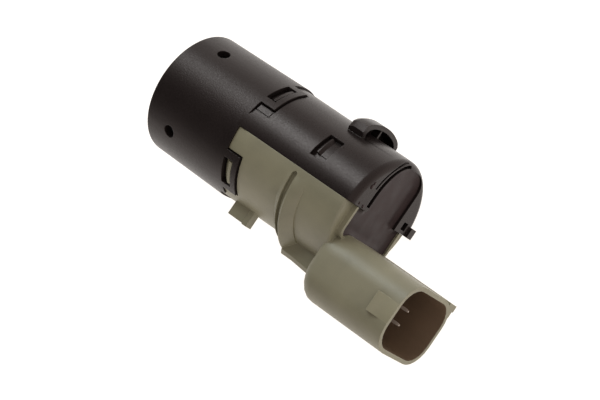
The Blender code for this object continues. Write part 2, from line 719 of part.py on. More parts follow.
def socket_body():
    """Outside of the plug socket with its catch and its corner key."""
    stations = [SOCKET_START + SOCKET_NOSE * (1 - math.cos(t))
                for t in steps_between(math.radians(18), math.pi / 2, math.radians(18))]
    body = loft("socket", [socket_outline(y) for y in [SOCKET_START] + stations + [SOCKET_MOUTH]])
    top = OUTER_HALF_HEIGHT
    end = SOCKET_MOUTH - CATCH_SETBACK
    start = end - CATCH_LENGTH
    outline = [(start, top - BITE), (start, top + CATCH_RISE),
               (start + CATCH_RISE, top + CATCH_RISE), (end, top), (end, top - BITE)]
    catch = loft("catch", [[Vector((x, y, z)) for y, z in outline] for x in
                           (SOCKET_CENTRE - CATCH_HALF_WIDTH, SOCKET_CENTRE + CATCH_HALF_WIDTH)])
    corner = block("corner key", (SOCKET_LEFT, SOCKET_START + SOCKET_NOSE, -OUTER_HALF_HEIGHT),
                   (SOCKET_LEFT + KEY_FILL, SOCKET_MOUTH, -OUTER_HALF_HEIGHT + KEY_FILL))
    edge = block("key edge", (SOCKET_LEFT + KEY_RIB, SOCKET_START, -FAR),
                 (SOCKET_LEFT + FAR, SOCKET_MOUTH + BITE, -OUTER_HALF_HEIGHT + KEY_STEP))
    return join(body, catch, cut(corner, edge))


def socket_hollows(body):
    """Socket cavity, the core in front of its floor and the three pin holes."""
    inner = rounded_outline(SOCKET_CENTRE, 0, SOCKET_HALF_WIDTH, SOCKET_HALF_HEIGHT, SOCKET_CORNER)
    cut(body, prism("cavity", inner, SOCKET_FLOOR_TOP, SOCKET_MOUTH + BITE))
    cut(body, prism("core", inner, SOCKET_START + SOCKET_FLOOR, SOCKET_FLOOR_BACK))
    left = SOCKET_CENTRE - SOCKET_HALF_WIDTH
    reach = math.sqrt(INNER_RADIUS**2 - BOSS_HALF_WIDTH**2)
    cut(body, block("passage", (left, SOCKET_START - PASSAGE_LENGTH, -BOSS_HALF_WIDTH),
                    (reach, SOCKET_START + SOCKET_FLOOR + BITE, BOSS_HALF_WIDTH)))
    side = PIN_SIDE / 2 + PIN_CLEARANCE
    for x, z in pin_places():
        cut(body, block("pin hole", (x - side, SOCKET_FLOOR_BACK - BITE, z - side),
                        (x + side, SOCKET_FLOOR_TOP + BITE, z + side)))


def housing_lip_outline(grow):
    """(x, z) outline of the well beside the socket, with round corners towards the socket."""
    return rounded_outline(0, 0, HOUSING_WELL_REACH + grow, HOUSING_WELL_HALF + grow,
                           HOUSING_WELL_CORNER + grow)


def housing_lip():
    """Raised lip round the housing's well."""
    return prism("lip", housing_lip_outline(HOUSING_LIP), HOUSING_LENGTH - END_WALL / 2,
                 HOUSING_LENGTH + HOUSING_LIP_RISE)


def housing_well():
    """Cutter for the housing's well."""
    return prism("well", housing_lip_outline(0), HOUSING_LENGTH - END_WALL - BITE,
                 HOUSING_LENGTH + HOUSING_LIP_RISE + BITE)


def connector_housing():
    """Grey half of the barrel with the moulded plug socket, flange, boss and lug."""
    body = barrel_solid("housing", HOUSING_LENGTH, HOUSING_EDGE)
    latch_recesses(body, 1)
    join(body, key_band("key", 0, shell_radius(SHOULDER) - SINK), flange(), boss(), lug(),
         housing_lip())
    hollow(body, HOUSING_LENGTH)
    cut(body, housing_well())
    join(body, socket_body())
    socket_hollows(body)
    cut(body, groove(1), groove(-1))
    keep_side(body, 1)
    latch_noses(body, 1)
    board_rails(body, 1)
    return finish(body, "connector_housing", GREY_PLASTIC, 0.5)


def resin_potting():
    """Cured resin that closes the well across both halves."""
    resin = prism("resin", well_outline(-SEAT, SOCKET_LEFT - 2 * SEAT), RESIN_BOTTOM, RESIN_TOP)
    half = HOUSING_WELL_HALF - SEAT
    wings = block("resin side", (SEAM + SEAT, RESIN_BOTTOM, -half),
                  (SOCKET_LEFT - SEAT, RESIN_TOP, half))
    return finish(join(resin, wings), "resin_potting", RESIN, 0.2)


def pin_places():
    """(x, z) of the three contact pins in the socket."""
    half = PIN_PITCH / 2
    return [(SOCKET_CENTRE - half, PIN_LOWER), (SOCKET_CENTRE + half, PIN_LOWER),
            (SOCKET_CENTRE, PIN_UPPER)]


def bar_path(name, path):
    """A square bar with mitred corners along a path that bends in a level plane."""
    half = PIN_SIDE / 2
    up = Vector((0, 0, half))
    rings = []
    for i, point in enumerate(path):
        before = (point - path[i - 1] if i else path[1] - point).normalized()
        after = (path[i + 1] - point if i + 1 < len(path) else before).normalized()
        mitre = (before + after).normalized()
        across = Vector((mitre.y, -mitre.x, 0)) * (half / mitre.dot(before))
        rings.append([point - across - up, point + across - up, point + across + up,
                      point - across + up])
    return loft(name, rings)


def contact_pins():
    """Three square pins that turn behind the socket's floor and land on the board."""
    foot_end = BOARD_END - PIN_FOOT_LENGTH
    turns = [SOCKET_FLOOR_BACK - PIN_SIDE * rows for rows in (2, 4, 3)]
    middle = BOARD_HALF_WIDTH - PIN_FOOT_INSET
    feet = [middle - PIN_FOOT_PITCH, middle + PIN_FOOT_PITCH, middle]
    for number, ((x, z), turn, foot) in enumerate(zip(pin_places(), turns, feet), 1):
        path = [Vector((x, PIN_TIP, z)), Vector((x, turn, z)), Vector((foot, turn, z)),
                Vector((foot, foot_end, z))]
        pin = bar_path("pin", path)
        if z > PIN_LOWER:
            half = PIN_SIDE / 2
            join(pin, block("leg", (foot - half, foot_end, BOARD_TOP + SEAT),
                            (foot + half, foot_end + PIN_SIDE, z)))
        finish(pin, f"contact_pin_{number}", TINNED, 0.25, 1.0)


def circuit_board():
    """Board held in the rails of both halves."""
    board = block("board", (-BOARD_HALF_WIDTH, BOARD_START, BOARD_BOTTOM),
                  (BOARD_HALF_WIDTH, BOARD_END, BOARD_TOP))
    return finish(board, "circuit_board", BOARD_GREEN, 0.5)


def transducer():
    """Metal cup, ceramic disc, damping pad and the silicone ring that isolates them."""
    cup = turned("cup", [
        (0, 0), (0, CUP_RADIUS), (CUP_LENGTH - CUP_FLANGE, CUP_RADIUS),
        (CUP_LENGTH - CUP_FLANGE, CUP_RADIUS + CUP_FLANGE), (CUP_LENGTH, CUP_RADIUS + CUP_FLANGE),
        (CUP_LENGTH, CUP_RADIUS - CUP_WALL), (CUP_FACE, CUP_RADIUS - CUP_WALL), (CUP_FACE, 0)],
        FACE_STEPS)
    finish(cup, "transducer_cup", PAINTED_METAL, 0.45, 0.4)
    disc_start = CUP_FACE + SEAT
    disc = turned("disc", [(disc_start, 0), (disc_start, PIEZO_RADIUS),
                           (disc_start + PIEZO_THICKNESS, PIEZO_RADIUS),
                           (disc_start + PIEZO_THICKNESS, 0)], INNER_STEPS)
    finish(disc, "piezo_disc", CERAMIC, 0.4)
    pad_start = disc_start + PIEZO_THICKNESS + SEAT
    pad_radius = CUP_RADIUS - CUP_WALL - SEAT
    pad = turned("pad", [(pad_start, 0), (pad_start, pad_radius),
                         (pad_start + PAD_LENGTH, pad_radius), (pad_start + PAD_LENGTH, 0)],
                 INNER_STEPS)
    for side in (-1, 1):
        x = side * WIRE_SPACING / 2
        hole = WIRE_RADIUS + SEAT
        cut(pad, block("wire hole", (x - hole, 0, -hole), (x + hole, RING_LENGTH, hole)))
    finish(pad, "damping_pad", FOAM, 0.9)


def decoupling_ring():
    """Silicone ring between the cup and the sleeve."""
    bore = CUP_RADIUS + SEAT
    nose = NECK_RADIUS - RIM_LIP_HEIGHT
    flange_front = CUP_LENGTH - CUP_FLANGE - SEAT
    flange_back = CUP_LENGTH + SEAT
    ring = turned("ring", [
        (0, bore), (0, nose), (RIM_LIP_LENGTH + SEAT, nose), (RIM_LIP_LENGTH + SEAT, NECK_RADIUS),
        (RING_LENGTH, NECK_RADIUS), (RING_LENGTH, bore), (flange_back, bore),
        (flange_back, bore + CUP_FLANGE), (flange_front, bore + CUP_FLANGE), (flange_front, bore)],
        FACE_STEPS)
    return finish(ring, "decoupling_ring", SILICONE, 0.6)


def tube(name, path, radius, sides=8):
    """A round wire along a path that stays in a plane of constant x."""
    rings = []
    for i, point in enumerate(path):
        along = (path[min(i + 1, len(path) - 1)] - path[max(i - 1, 0)]).normalized()
        across = Vector((1, 0, 0))
        up = across.cross(along)
        rings.append([point + across * (radius * math.cos(t)) + up * (radius * math.sin(t))
                      for t in (math.tau * k / sides for k in range(sides))])
    return loft(name, rings)


def lead_wires():
    """Two leads from the ceramic disc through the pad to the board."""
    start = CUP_FACE + 2 * SEAT + PIEZO_THICKNESS + WIRE_RADIUS
    height = BOARD_TOP + SEAT + WIRE_RADIUS
    end = BOARD_START + PIN_FOOT_LENGTH
    for number, side in enumerate((-1, 1), 1):
        path = []
        for y in steps_between(start, end, WIRE_STEP):
            ease = min(1.0, max(0.0, (y - RING_LENGTH) / (BOARD_START - RING_LENGTH)))
            path.append(Vector((side * WIRE_SPACING / 2, y, height * ease**2 * (3 - 2 * ease))))
        finish(tube("wire", path, WIRE_RADIUS), f"lead_wire_{number}", COPPER, 0.35, 1.0)


def on_board(name, place, size, above, colour, roughness, metallic=0.0):
    """A component's body with chamfered top edges, seated above or below the board."""
    x, y = math.copysign(BOARD_HALF_WIDTH, place[0]) - place[0], BOARD_START + place[1]
    half_x, half_y = size[0] / 2, size[1] / 2
    edge = min(size) * COMPONENT_CHAMFER
    rings = []
    for height, inset in ((0, 0), (size[2] - edge, 0), (size[2], edge)):
        z = BOARD_TOP + SEAT + height if above else BOARD_BOTTOM - SEAT - height
        rings.append([Vector((x + sx * (half_x - inset), y + sy * (half_y - inset), z))
                      for sx, sy in ((-1, -1), (1, -1), (1, 1), (-1, 1))])
    return finish(loft(name, rings), name, colour, roughness, metallic)


def transformer():
    """Bobbin, winding and ferrite core of the step-up transformer."""
    x = TRANSFORMER_INSET - BOARD_HALF_WIDTH
    y = BOARD_START + TRANSFORMER_FROM_FRONT
    base = BOARD_TOP + SEAT
    turn = BOBBIN_RADIUS - BOBBIN_GROOVE
    top = base + BOBBIN_HEIGHT

    def upright(angle, radius, z):
        return Vector((x + radius * math.cos(angle), y + radius * math.sin(angle), z))

    def winding_piece(name, profile, colour, roughness, metallic=0.0):
        body = turned(name, profile, INNER_STEPS, upright)
        finish(body, "transformer_" + name, colour, roughness, metallic)

    winding_piece("bobbin", [
        (base, BOBBIN_BORE), (base, BOBBIN_RADIUS), (base + BOBBIN_FLANGE, BOBBIN_RADIUS),
        (base + BOBBIN_FLANGE, turn), (top - BOBBIN_FLANGE, turn),
        (top - BOBBIN_FLANGE, BOBBIN_RADIUS), (top, BOBBIN_RADIUS), (top, BOBBIN_BORE)], CHIP, 0.5)
    winding_piece("winding", [
        (base + BOBBIN_FLANGE + SEAT, turn + SEAT),
        (base + BOBBIN_FLANGE + SEAT, BOBBIN_RADIUS - SEAT),
        (top - BOBBIN_FLANGE - SEAT, BOBBIN_RADIUS - SEAT),
        (top - BOBBIN_FLANGE - SEAT, turn + SEAT)], COPPER, 0.4, 0.8)
    winding_piece("core", [
        (base, 0), (base, BOBBIN_BORE - SEAT), (top + SEAT, BOBBIN_BORE - SEAT),
        (top + SEAT, BOBBIN_RADIUS), (top + SEAT + CORE_CAP, BOBBIN_RADIUS),
        (top + SEAT + CORE_CAP, 0)], FERRITE, 0.6)


def board_components():
    """Driver chip, capacitors, diode and resistors on both faces of the board."""
    on_board("control_chip", CHIP_PLACE, CHIP_SIZE, True, CHIP, 0.45)
    on_board("storage_capacitor", STORAGE_PLACE, STORAGE_SIZE, True, TANTALUM, 0.5)
    on_board("filter_capacitor_1", FILTER_1_PLACE, FILTER_1_SIZE, True, CERAMIC, 0.45)
    on_board("filter_capacitor_2", FILTER_2_PLACE, FILTER_2_SIZE, False, CERAMIC, 0.45)
    on_board("resistor_1", RESISTOR_1_PLACE, RESISTOR_SIZE, True, CHIP, 0.5)
    on_board("resistor_2", RESISTOR_2_PLACE, RESISTOR_SIZE, False, CHIP, 0.5)
    on_board("clamp_diode", DIODE_PLACE, DIODE_SIZE, False, CHIP, 0.45)


def build():
    """Clears the file and makes every piece."""
    for item in list(bpy.data.objects):
        bpy.data.objects.remove(item)
    front_sleeve()
    connector_housing()
    rear_shell()
    resin_potting()
    contact_pins()
    circuit_board()
    transducer()
    decoupling_ring()
    lead_wires()
    transformer()
    board_components()


build()
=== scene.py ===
"""Finishes and studio for an ultrasonic parking sensor.

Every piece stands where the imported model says. Units are metres. The barrel lies along Y with the
sensing face at y = 0, the plug socket is on the +X side, and the seams lie at +Z and -Z.
"""

import math

import bmesh
import bpy
from bpy.props import FloatProperty, FloatVectorProperty, PointerProperty
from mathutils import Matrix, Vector, noise


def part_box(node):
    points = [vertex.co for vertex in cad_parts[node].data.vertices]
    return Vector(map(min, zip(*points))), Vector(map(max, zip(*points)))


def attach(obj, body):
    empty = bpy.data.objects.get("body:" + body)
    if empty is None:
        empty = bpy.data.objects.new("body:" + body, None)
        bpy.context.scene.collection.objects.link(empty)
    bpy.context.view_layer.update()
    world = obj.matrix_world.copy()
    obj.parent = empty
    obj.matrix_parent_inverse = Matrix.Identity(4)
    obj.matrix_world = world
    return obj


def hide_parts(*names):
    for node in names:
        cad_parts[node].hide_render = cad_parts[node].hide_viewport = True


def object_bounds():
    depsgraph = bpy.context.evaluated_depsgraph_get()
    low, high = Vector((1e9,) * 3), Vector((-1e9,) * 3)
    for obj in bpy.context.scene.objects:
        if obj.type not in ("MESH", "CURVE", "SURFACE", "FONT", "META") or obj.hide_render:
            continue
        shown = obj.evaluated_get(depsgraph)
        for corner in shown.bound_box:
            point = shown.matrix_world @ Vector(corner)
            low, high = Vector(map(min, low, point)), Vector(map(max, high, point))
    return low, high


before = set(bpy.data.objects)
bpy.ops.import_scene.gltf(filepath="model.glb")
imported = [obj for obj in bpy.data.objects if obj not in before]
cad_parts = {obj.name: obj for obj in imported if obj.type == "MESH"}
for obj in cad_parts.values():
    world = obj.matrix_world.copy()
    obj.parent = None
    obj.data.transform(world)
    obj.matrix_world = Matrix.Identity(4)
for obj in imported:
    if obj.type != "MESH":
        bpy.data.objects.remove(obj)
cad_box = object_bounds()

bl_info = {
    "name": "Parking sensor",
    "version": (1, 0, 0),
    "blender": (4, 5, 0),
    "location": "3D View > Sidebar > Sensor",
    "description": "Dresses the packed parking sensor and lights it",
    "category": "Object",
}

MM = 0.001
BODY = "root"
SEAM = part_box("connector_housing")[0].x        # half of the gap between the two shells
SHOULDER = 21.1 * MM                           # front of the shells, behind the sleeve's edge
SLEEVE_REAR = 20.8 * MM
SKIN = 11 * MM                                 # beyond this radius lies the barrel's outer skin
FLUSH_END = 22                                 # degrees from the seam where the joint stands open
FLUSH_FADE = 8                                 # degrees over which it closes towards the seam

# Plug socket, barrel and rear face, as the solids have them
SOCKET_LEFT = 4.95 * MM
SOCKET_RIGHT = 18.55 * MM
SOCKET_TOP = 9.05 * MM
SOCKET_CORNER = 4.8 * MM
SOCKET_WALL = 0.8 * MM
SOCKET_FLOOR = 53.5 * MM
CATCH_START = 60 * MM                          # the catch lies behind this plane
REAR_FACE = 48.9 * MM
BARREL_RADIUS = 12.25 * MM
BARREL_DRAFT = 0.33 * MM                       # loss of radius from the front to the rear face

# Rim of the resin on the housing's side, 0.02 mm clear of the solid's well
WELL_REACH = 5.78 * MM
WELL_HALF = 8.5 * MM
WELL_CORNER = 1.4 * MM

# Well of the black shell. The near side and the corner beside it follow the photograph: the solid
# has that side 0.95 mm further out and a corner like the far one.
WELL_LEFT = 10.72 * MM
WELL_NEAR = 5.65 * MM
WELL_FAR = 6.0 * MM
WELL_STRAIGHT = 3.0 * MM                       # straight length of the near side, from the seam
WELL_NEAR_CORNER = 5.05 * MM                   # height of the wide near corner
WELL_FAR_CORNER = 3.5 * MM
REAR_START = 46.9 * MM                         # the shell's end is rebuilt behind this plane

# Facets and slack of what is modelled here
BEYOND = 0.5 * MM                              # how far a carving body stands out of the plastic
WELD = 0.004 * MM                              # closer points of a solid become one
FLAT = math.radians(0.4)                       # faces that meet at less are joined
ON_BARREL = 0.015 * MM                         # points this near the ideal barrel are its skin
NEAR_BARREL = 0.06 * MM
IN_PLANE = 0.001 * MM
SLACK = 0.1 * MM                               # for sorting the faces of the socket
BARREL_SIDES = 96
EDGE_STEPS = 8
QUARTER_STEPS = 6
CURVE_STEPS = 18
SOCKET_STEPS = 8
FILM_ROWS = 24
FILM_COLUMNS = 32
RESIN_RINGS = 26

# Finer forms of the black shell's end, placed by the photograph
GROOVES = ((0.1, 1.15, 0.8, 84, 0.9),          # near edge, far edge, start, sweep, depth; in mm
           (1.6, 2.1, 4.0, 76, 0.6))           # and degrees
GROOVE_SIDEWAYS = 0.5                          # share of its distance that is left at the side
STEP_WIDTH = 2.0 * MM                          # step at the far seam
STEP_OUT = 12.17 * MM
STEP_IN = 10.4 * MM
STEP_LENGTH = 1.1 * MM
VENT_LEFT, VENT_RIGHT = -2.25 * MM, -0.75 * MM
VENT_LOW, VENT_HIGH = -9.17 * MM, -7.67 * MM
VENT_DEPTH = 1.6 * MM
DROPS = ((-4.3, 9.0, 1.2), (-5.0, 8.8, 0.9),   # x and z in mm, and share of the usual radius
         (-0.7, 9.5, 0.7), (-0.5, 7.9, 0.85))
DROP_FLATNESS = 0.45

# Outline of the small plate beside the near tab; angles in degrees from the near seam
PLATE_START = 21.0 * MM
PLATE_END = 24.4 * MM
PLATE_SIDE = (-20.5, -19.7)
PLATE_CORNER = -26.0
PLATE_LINE = 0.15 * MM
PLATE_DEPTH = 0.12 * MM

# Film that carries the sleeve's skin over to the shell next to the near seam
FILM_START = 20.2 * MM
FILM_END = 23.4 * MM
FILM_TOP = BARREL_RADIUS + 0.20 * MM
FILM_SWEEP = 17.5                              # degrees
FILM_FADE = 6.5
FILM_SINK = 0.05 * MM                          # how far its faded edge dips under the skin
FILM_LIFT = 0.01 * MM

# Cured resin and contact pins
RESIN_MIDDLE = 0.4                             # place of the last ring, as a share of the reach
RIM_CROWDING = 1.15                            # above 1, rings lie closer at the rim
MENISCUS_POWER = 2.2
WAVE_LENGTH = 3.2 * MM
PIN_POINT = 0.45                               # share of its width that a pin keeps at its tip
PIN_EDGE = 0.05 * MM

ROOF_GAP = (0.368, -0.527, 0.766)              # towards the dark gap in the tent's roof
GAP_EDGE = (0.70, 0.95)                        # cosines between which the gap darkens
GAP_SHADE = 0.02
KEY_SIDE = (-0.53, -0.53, 0.66)                # towards the softbox
KEY_DISTANCE = 0.6                             # metres
KEY_WIDTH = 0.12
KEY_HEIGHT = 0.30

# The carbon black in the plastic takes much of its sheen away and leaves the rest warm
CARBON = {"Specular_IOR_Level": 0.22, "Specular_Tint": (1.0, 0.82, 0.76, 1.0)}


def linear(hex_colour):
    """An sRGB hex colour as linear red, green and blue."""
    channels = [int(hex_colour[i:i + 2], 16) / 255 for i in (1, 3, 5)]
    return tuple(c / 12.92 if c <= 0.04045 else ((c + 0.055) / 1.055) ** 2.4 for c in channels)


def length(name, description, default):
    """A setting for a size in metres."""
    return FloatProperty(name=name, description=description, default=default, min=0.0,
                         unit="LENGTH", precision=5)


def colour(name, description, default):
    """A setting for a colour, given as sRGB hex."""
    return FloatVectorProperty(name=name, description=description, default=linear(default),
                               subtype="COLOR", min=0.0, max=1.0)


class SensorSizes(bpy.types.PropertyGroup):
    """Sizes of the finish and of the small forms that the solids leave out."""
    edge: length("Edge radius", "Radius that the mould leaves on plastic edges", 0.14 * MM)
    grain: length("Grain", "Width of one pit of the eroded mould texture", 0.28 * MM)
    grain_height: length("Grain height", "Depth of the eroded mould texture", 0.010 * MM)
    joint: length("Joint", "Half of the line that shows where two mouldings meet", 0.03 * MM)
    rear_edge: length("Rear edge", "Rounding of the black shell's rear edge", 1.4 * MM)
    drop: length("Resin drop", "Radius of a drop of resin spilt beside the well", 0.42 * MM)
    meniscus: length("Meniscus", "How far the resin climbs up the wall of its well", 0.35 * MM)
    meniscus_width: length("Meniscus width", "How far from the wall the resin starts to climb",
                           1.3 * MM)
    resin_waves: length("Resin waves", "Height of the slow waves in the cured resin", 0.07 * MM)
    pin_taper: length("Pin taper", "Length of the pointed end of a contact pin", 0.7 * MM)


class SensorColours(bpy.types.PropertyGroup):
    """Colours of the finishes."""
    black_pbt: colour("Black PBT", "Sleeve and rear shell", "#1C1716")
    grey_pbt: colour("Grey PBT", "Housing with the plug socket", "#7A755F")
    # A darker, browner copy of the grey: painted shade inside the plug socket
    socket_painted_shade: colour("Socket inside", "Walls of the plug socket's cavity", "#6C5845")
    resin: colour("Resin", "Cast resin in the rear well", "#201615")
    silicone: colour("Silicone", "Ring round the sensing face", "#1B1B1C")
    lacquer: colour("Lacquer", "Painted sensing face", "#232324")
    tin: colour("Tin", "Plating of the contact pins", "#D2C6BA")
    copper: colour("Copper", "Enamelled winding and leads", "#B5652F")
    laminate: colour("Laminate", "Solder mask of the circuit board", "#1E5A38")
    ceramic: colour("Ceramic", "Fired disc and chip capacitors", "#C9C2AE")
    ferrite: colour("Ferrite", "Core of the transformer", "#3B3B3E")
    foam: colour("Foam", "Damping pad", "#5A5A5E")
    epoxy: colour("Moulding compound", "Bodies of the chip, diode and resistors", "#26262A")
    tantalum: colour("Tantalum case", "Case of the storage capacitor", "#B8802E")


class SensorStudio(bpy.types.PropertyGroup):
    """Camera and light."""
    camera_place: FloatVectorProperty(
        name="Camera place", description="Where the camera stands", unit="LENGTH",
        default=(-5.515 * MM, 259.312 * MM, 365.797 * MM))
    camera_turn: FloatVectorProperty(
        name="Camera turn", description="Turn of the camera about X, Y and Z", subtype="EULER",
        default=[math.radians(a) for a in (18.1095, 26.6284, 128.7945)])
    lens: FloatProperty(name="Lens", description="Focal length for a frame 36 mm wide",
                        default=142.2, min=1.0, unit="CAMERA")
    key_power: FloatProperty(name="Key light", description="Power of the softbox above",
                             default=1.28, min=0.0, unit="POWER")
    key_colour: colour("Key colour", "Daylight tube behind the softbox", "#EBFAFF")
    tent: colour("Tent", "Cloth of the light tent", "#EEE8E5")
    floor: colour("Floor", "Opal sheet under the part", "#9A9A98")
    floor_light: colour("Floor light", "Warm light from under the opal sheet", "#FFF9F4")
    floor_glow: FloatProperty(name="Floor glow", description="Light from under the opal sheet",
                              default=1.02, min=0.0)


def sizes():
    return bpy.context.scene.sensor_sizes


def colours():
    return bpy.context.scene.sensor_colours


def studio():
    return bpy.context.scene.sensor_studio


def add(tree, kind, inputs=None, **settings):
    """Adds a node, sets its properties, and fills or links its inputs."""
    node = tree.nodes.new(kind)
    for name, value in settings.items():
        setattr(node, name, value)
    for name, value in (inputs or {}).items():
        if isinstance(value, bpy.types.NodeSocket):
            tree.links.new(value, node.inputs[name])
        else:
            node.inputs[name].default_value = value
    return node


def surface(name, **values):
    """A material with a Principled shader whose even values are set on its own sockets."""
    material = bpy.data.materials.new(name)
    material.use_nodes = True
    tree = material.node_tree
    shader = tree.nodes["Principled BSDF"]
    for socket, value in values.items():
        shader.inputs[socket.replace("_", " ")].default_value = value
    return material, tree, shader


def place(tree, stretch=(1, 1, 1)):
    """The point on the part in metres, stretched for patterns that run one way."""
    where = add(tree, "ShaderNodeTexCoord").outputs["Object"]
    return add(tree, "ShaderNodeMapping", {"Vector": where, "Scale": stretch}).outputs["Vector"]


def cloud(tree, where, size, detail=2.0, roughness=0.5):
    """Soft random values from 0 to 1, with features of about the given size."""
    return add(tree, "ShaderNodeTexNoise", {"Vector": where, "Scale": 1 / size, "Detail": detail,
                                            "Roughness": roughness}).outputs["Fac"]


def spread(tree, value, low, high, start=0.35, end=0.65):
    """Maps a value's usual range to the range from low to high."""
    return add(tree, "ShaderNodeMapRange", {"Value": value, "From Min": start, "From Max": end,
                                            "To Min": low, "To Max": high}).outputs["Result"]


def blend(tree, share, first, second, how="MIX"):
    """Mixes two colours."""
    mixed = add(tree, "ShaderNodeMix", {0: share, 6: first, 7: second}, data_type="RGBA",
                blend_type=how)
    return mixed.outputs[2]


def shade(rgb, factor):
    """A colour made lighter or darker, with full opacity."""
    return (*(min(1.0, c * factor) for c in rgb), 1.0)


def edge_share(tree, radius):
    """The rounded normal at an edge, and a value that is 1 on the edge and 0 away from it."""
    rounded = add(tree, "ShaderNodeBevel", {"Radius": radius}, samples=6).outputs["Normal"]
    flat = add(tree, "ShaderNodeNewGeometry").outputs["Normal"]
    same = add(tree, "ShaderNodeVectorMath", {0: rounded, 1: flat},
               operation="DOT_PRODUCT").outputs["Value"]
    return rounded, spread(tree, same, 1.0, 0.0, 0.80, 0.985)


def eroded_pbt(name, rgb, fibre, edge_highlight, dullness, depth=1.0, **skin):
    """Glass-filled PBT, injection moulded in a spark-eroded tool.

    To the eye: dull, a little warm, with a fine even grain, faint streaks along the flow, pale
    specks where glass fibres lie just under the skin, and edges rubbed a little smoother by
    handling, with a painted highlight that makes them lighter. Fibre and edge_highlight say how
    much the specks and the painted edge highlight show, and dullness is the roughness.
    """
    material, tree, shader = surface(name, IOR=1.53, **skin)
    size = sizes()
    where = place(tree)
    grain = cloud(tree, where, size.grain, 3.0, 0.6)
    drift = cloud(tree, where, 7 * MM)
    flow = cloud(tree, place(tree, (1, 0.2, 1)), 1.6 * MM, 3.0)
    # Real fibres are 0.01 mm across; these specks are 0.3 mm, so that they show.
    specks = spread(tree, cloud(tree, where, 0.3 * MM, 1.0), 0.0, fibre, 0.62, 0.75)
    rounded, edge = edge_share(tree, size.edge)
    tone = blend(tree, spread(tree, drift, 0.0, 1.0), shade(rgb, 0.90), shade(rgb, 1.10))
    tone = blend(tree, spread(tree, flow, 0.0, 0.35), tone, shade(rgb, 1.12))
    tone = blend(tree, specks, tone, shade(rgb, 2.2))
    # Edges made lighter here: painted highlight
    tone = blend(tree, add(tree, "ShaderNodeMath", {0: edge, 1: edge_highlight},
                           operation="MULTIPLY").outputs[0], tone, shade(rgb, 1.9))
    tree.links.new(tone, shader.inputs["Base Color"])
    matte = spread(tree, grain, dullness - 0.05, dullness + 0.05)
    worn = add(tree, "ShaderNodeMapRange", {"Value": edge, "To Min": 0.0, "To Max": -0.10})
    rough = add(tree, "ShaderNodeMath", {0: matte, 1: worn.outputs["Result"]}, operation="ADD")
    tree.links.new(rough.outputs[0], shader.inputs["Roughness"])
    bump = add(tree, "ShaderNodeBump", {"Height": grain, "Distance": size.grain_height * depth,
                                        "Normal": rounded})
    tree.links.new(bump.outputs["Normal"], shader.inputs["Normal"])
    return material


def cast_resin(rgb):
    """Two-part potting resin, poured and cured.

    To the eye: very dark purple-brown with a soft sheen, slow waves, a faint haze and a few
    small pinholes.
    """
    material, tree, shader = surface("cast_resin", IOR=1.5, Specular_IOR_Level=0.24,
                                     Specular_Tint=(1.0, 0.74, 0.74, 1.0))
    where = place(tree)
    waves = cloud(tree, where, 2.6 * MM, 1.0)
    haze = cloud(tree, where, 1.8 * MM, 2.0)
    bubbles = add(tree, "ShaderNodeTexVoronoi", {"Vector": where, "Scale": 1 / (2.3 * MM)})
    pinholes = spread(tree, bubbles.outputs["Distance"], 1.0, 0.0, 0.04, 0.08)
    tone = blend(tree, spread(tree, haze, 0.0, 1.0), shade(rgb, 0.85), shade(rgb, 1.25))
    tree.links.new(tone, shader.inputs["Base Color"])
    tree.links.new(spread(tree, haze, 0.34, 0.44), shader.inputs["Roughness"])
    height = add(tree, "ShaderNodeMath", {0: waves, 1: pinholes}, operation="SUBTRACT")
    bump = add(tree, "ShaderNodeBump", {"Height": height.outputs[0], "Distance": 0.02 * MM})
    tree.links.new(bump.outputs["Normal"], shader.inputs["Normal"])
    return material


def tinned_bronze(rgb):
    """Bronze, stamped and tin plated.

    To the eye: dull pale silver with drawn lines along the pin and darker patches.
    """
    material, tree, shader = surface("tinned_bronze", Metallic=0.75)
    lines = cloud(tree, place(tree, (1, 0.05, 1)), 0.06 * MM, 3.0)
    patches = cloud(tree, place(tree), 0.9 * MM, 3.0)
    tone = blend(tree, spread(tree, patches, 0.0, 0.5), shade(rgb, 1.0), shade(rgb, 0.72))
    tree.links.new(tone, shader.inputs["Base Color"])
    tree.links.new(spread(tree, patches, 0.45, 0.62), shader.inputs["Roughness"])
    bump = add(tree, "ShaderNodeBump", {"Height": lines, "Distance": 0.003 * MM})
    tree.links.new(bump.outputs["Normal"], shader.inputs["Normal"])
    return material


def silicone_rubber(rgb):
    """Silicone rubber, compression moulded.

    To the eye: soft, dull black that picks up a little pale dust.
    """
    material, tree, shader = surface("silicone_rubber", IOR=1.41, Sheen_Weight=0.15)
    where = place(tree)
    dust = cloud(tree, where, 0.5 * MM, 5.0, 0.6)
    tone = blend(tree, spread(tree, dust, 0.0, 0.5, 0.5, 0.75), shade(rgb, 1.0), shade(rgb, 2.6))
    tree.links.new(tone, shader.inputs["Base Color"])
    tree.links.new(spread(tree, dust, 0.50, 0.68), shader.inputs["Roughness"])
    bump = add(tree, "ShaderNodeBump", {"Height": cloud(tree, where, 0.15 * MM, 2.0),
                                        "Distance": 0.005 * MM})
    tree.links.new(bump.outputs["Normal"], shader.inputs["Normal"])
    return material


def lacquered_aluminium(rgb):
    """Deep-drawn aluminium with a sprayed satin lacquer.

    To the eye: an even dark face with very fine orange peel and a soft sheen.
    """
    material, tree, shader = surface("lacquered_aluminium", IOR=1.5, Coat_Weight=0.25,
                                     Coat_Roughness=0.25)
    where = place(tree)
    peel = cloud(tree, where, 0.45 * MM, 2.0)
    drift = cloud(tree, where, 5 * MM)
    edge = edge_share(tree, 0.12 * MM)[1]
    tone = blend(tree, spread(tree, drift, 0.0, 1.0), shade(rgb, 0.9), shade(rgb, 1.15))
    # Lighter along the edges: painted highlight
    tone = blend(tree, edge, tone, shade(rgb, 2.2))
    tree.links.new(tone, shader.inputs["Base Color"])
    tree.links.new(spread(tree, peel, 0.36, 0.46), shader.inputs["Roughness"])
    bump = add(tree, "ShaderNodeBump", {"Height": peel, "Distance": 0.006 * MM})
    tree.links.new(bump.outputs["Normal"], shader.inputs["Normal"])
    return material


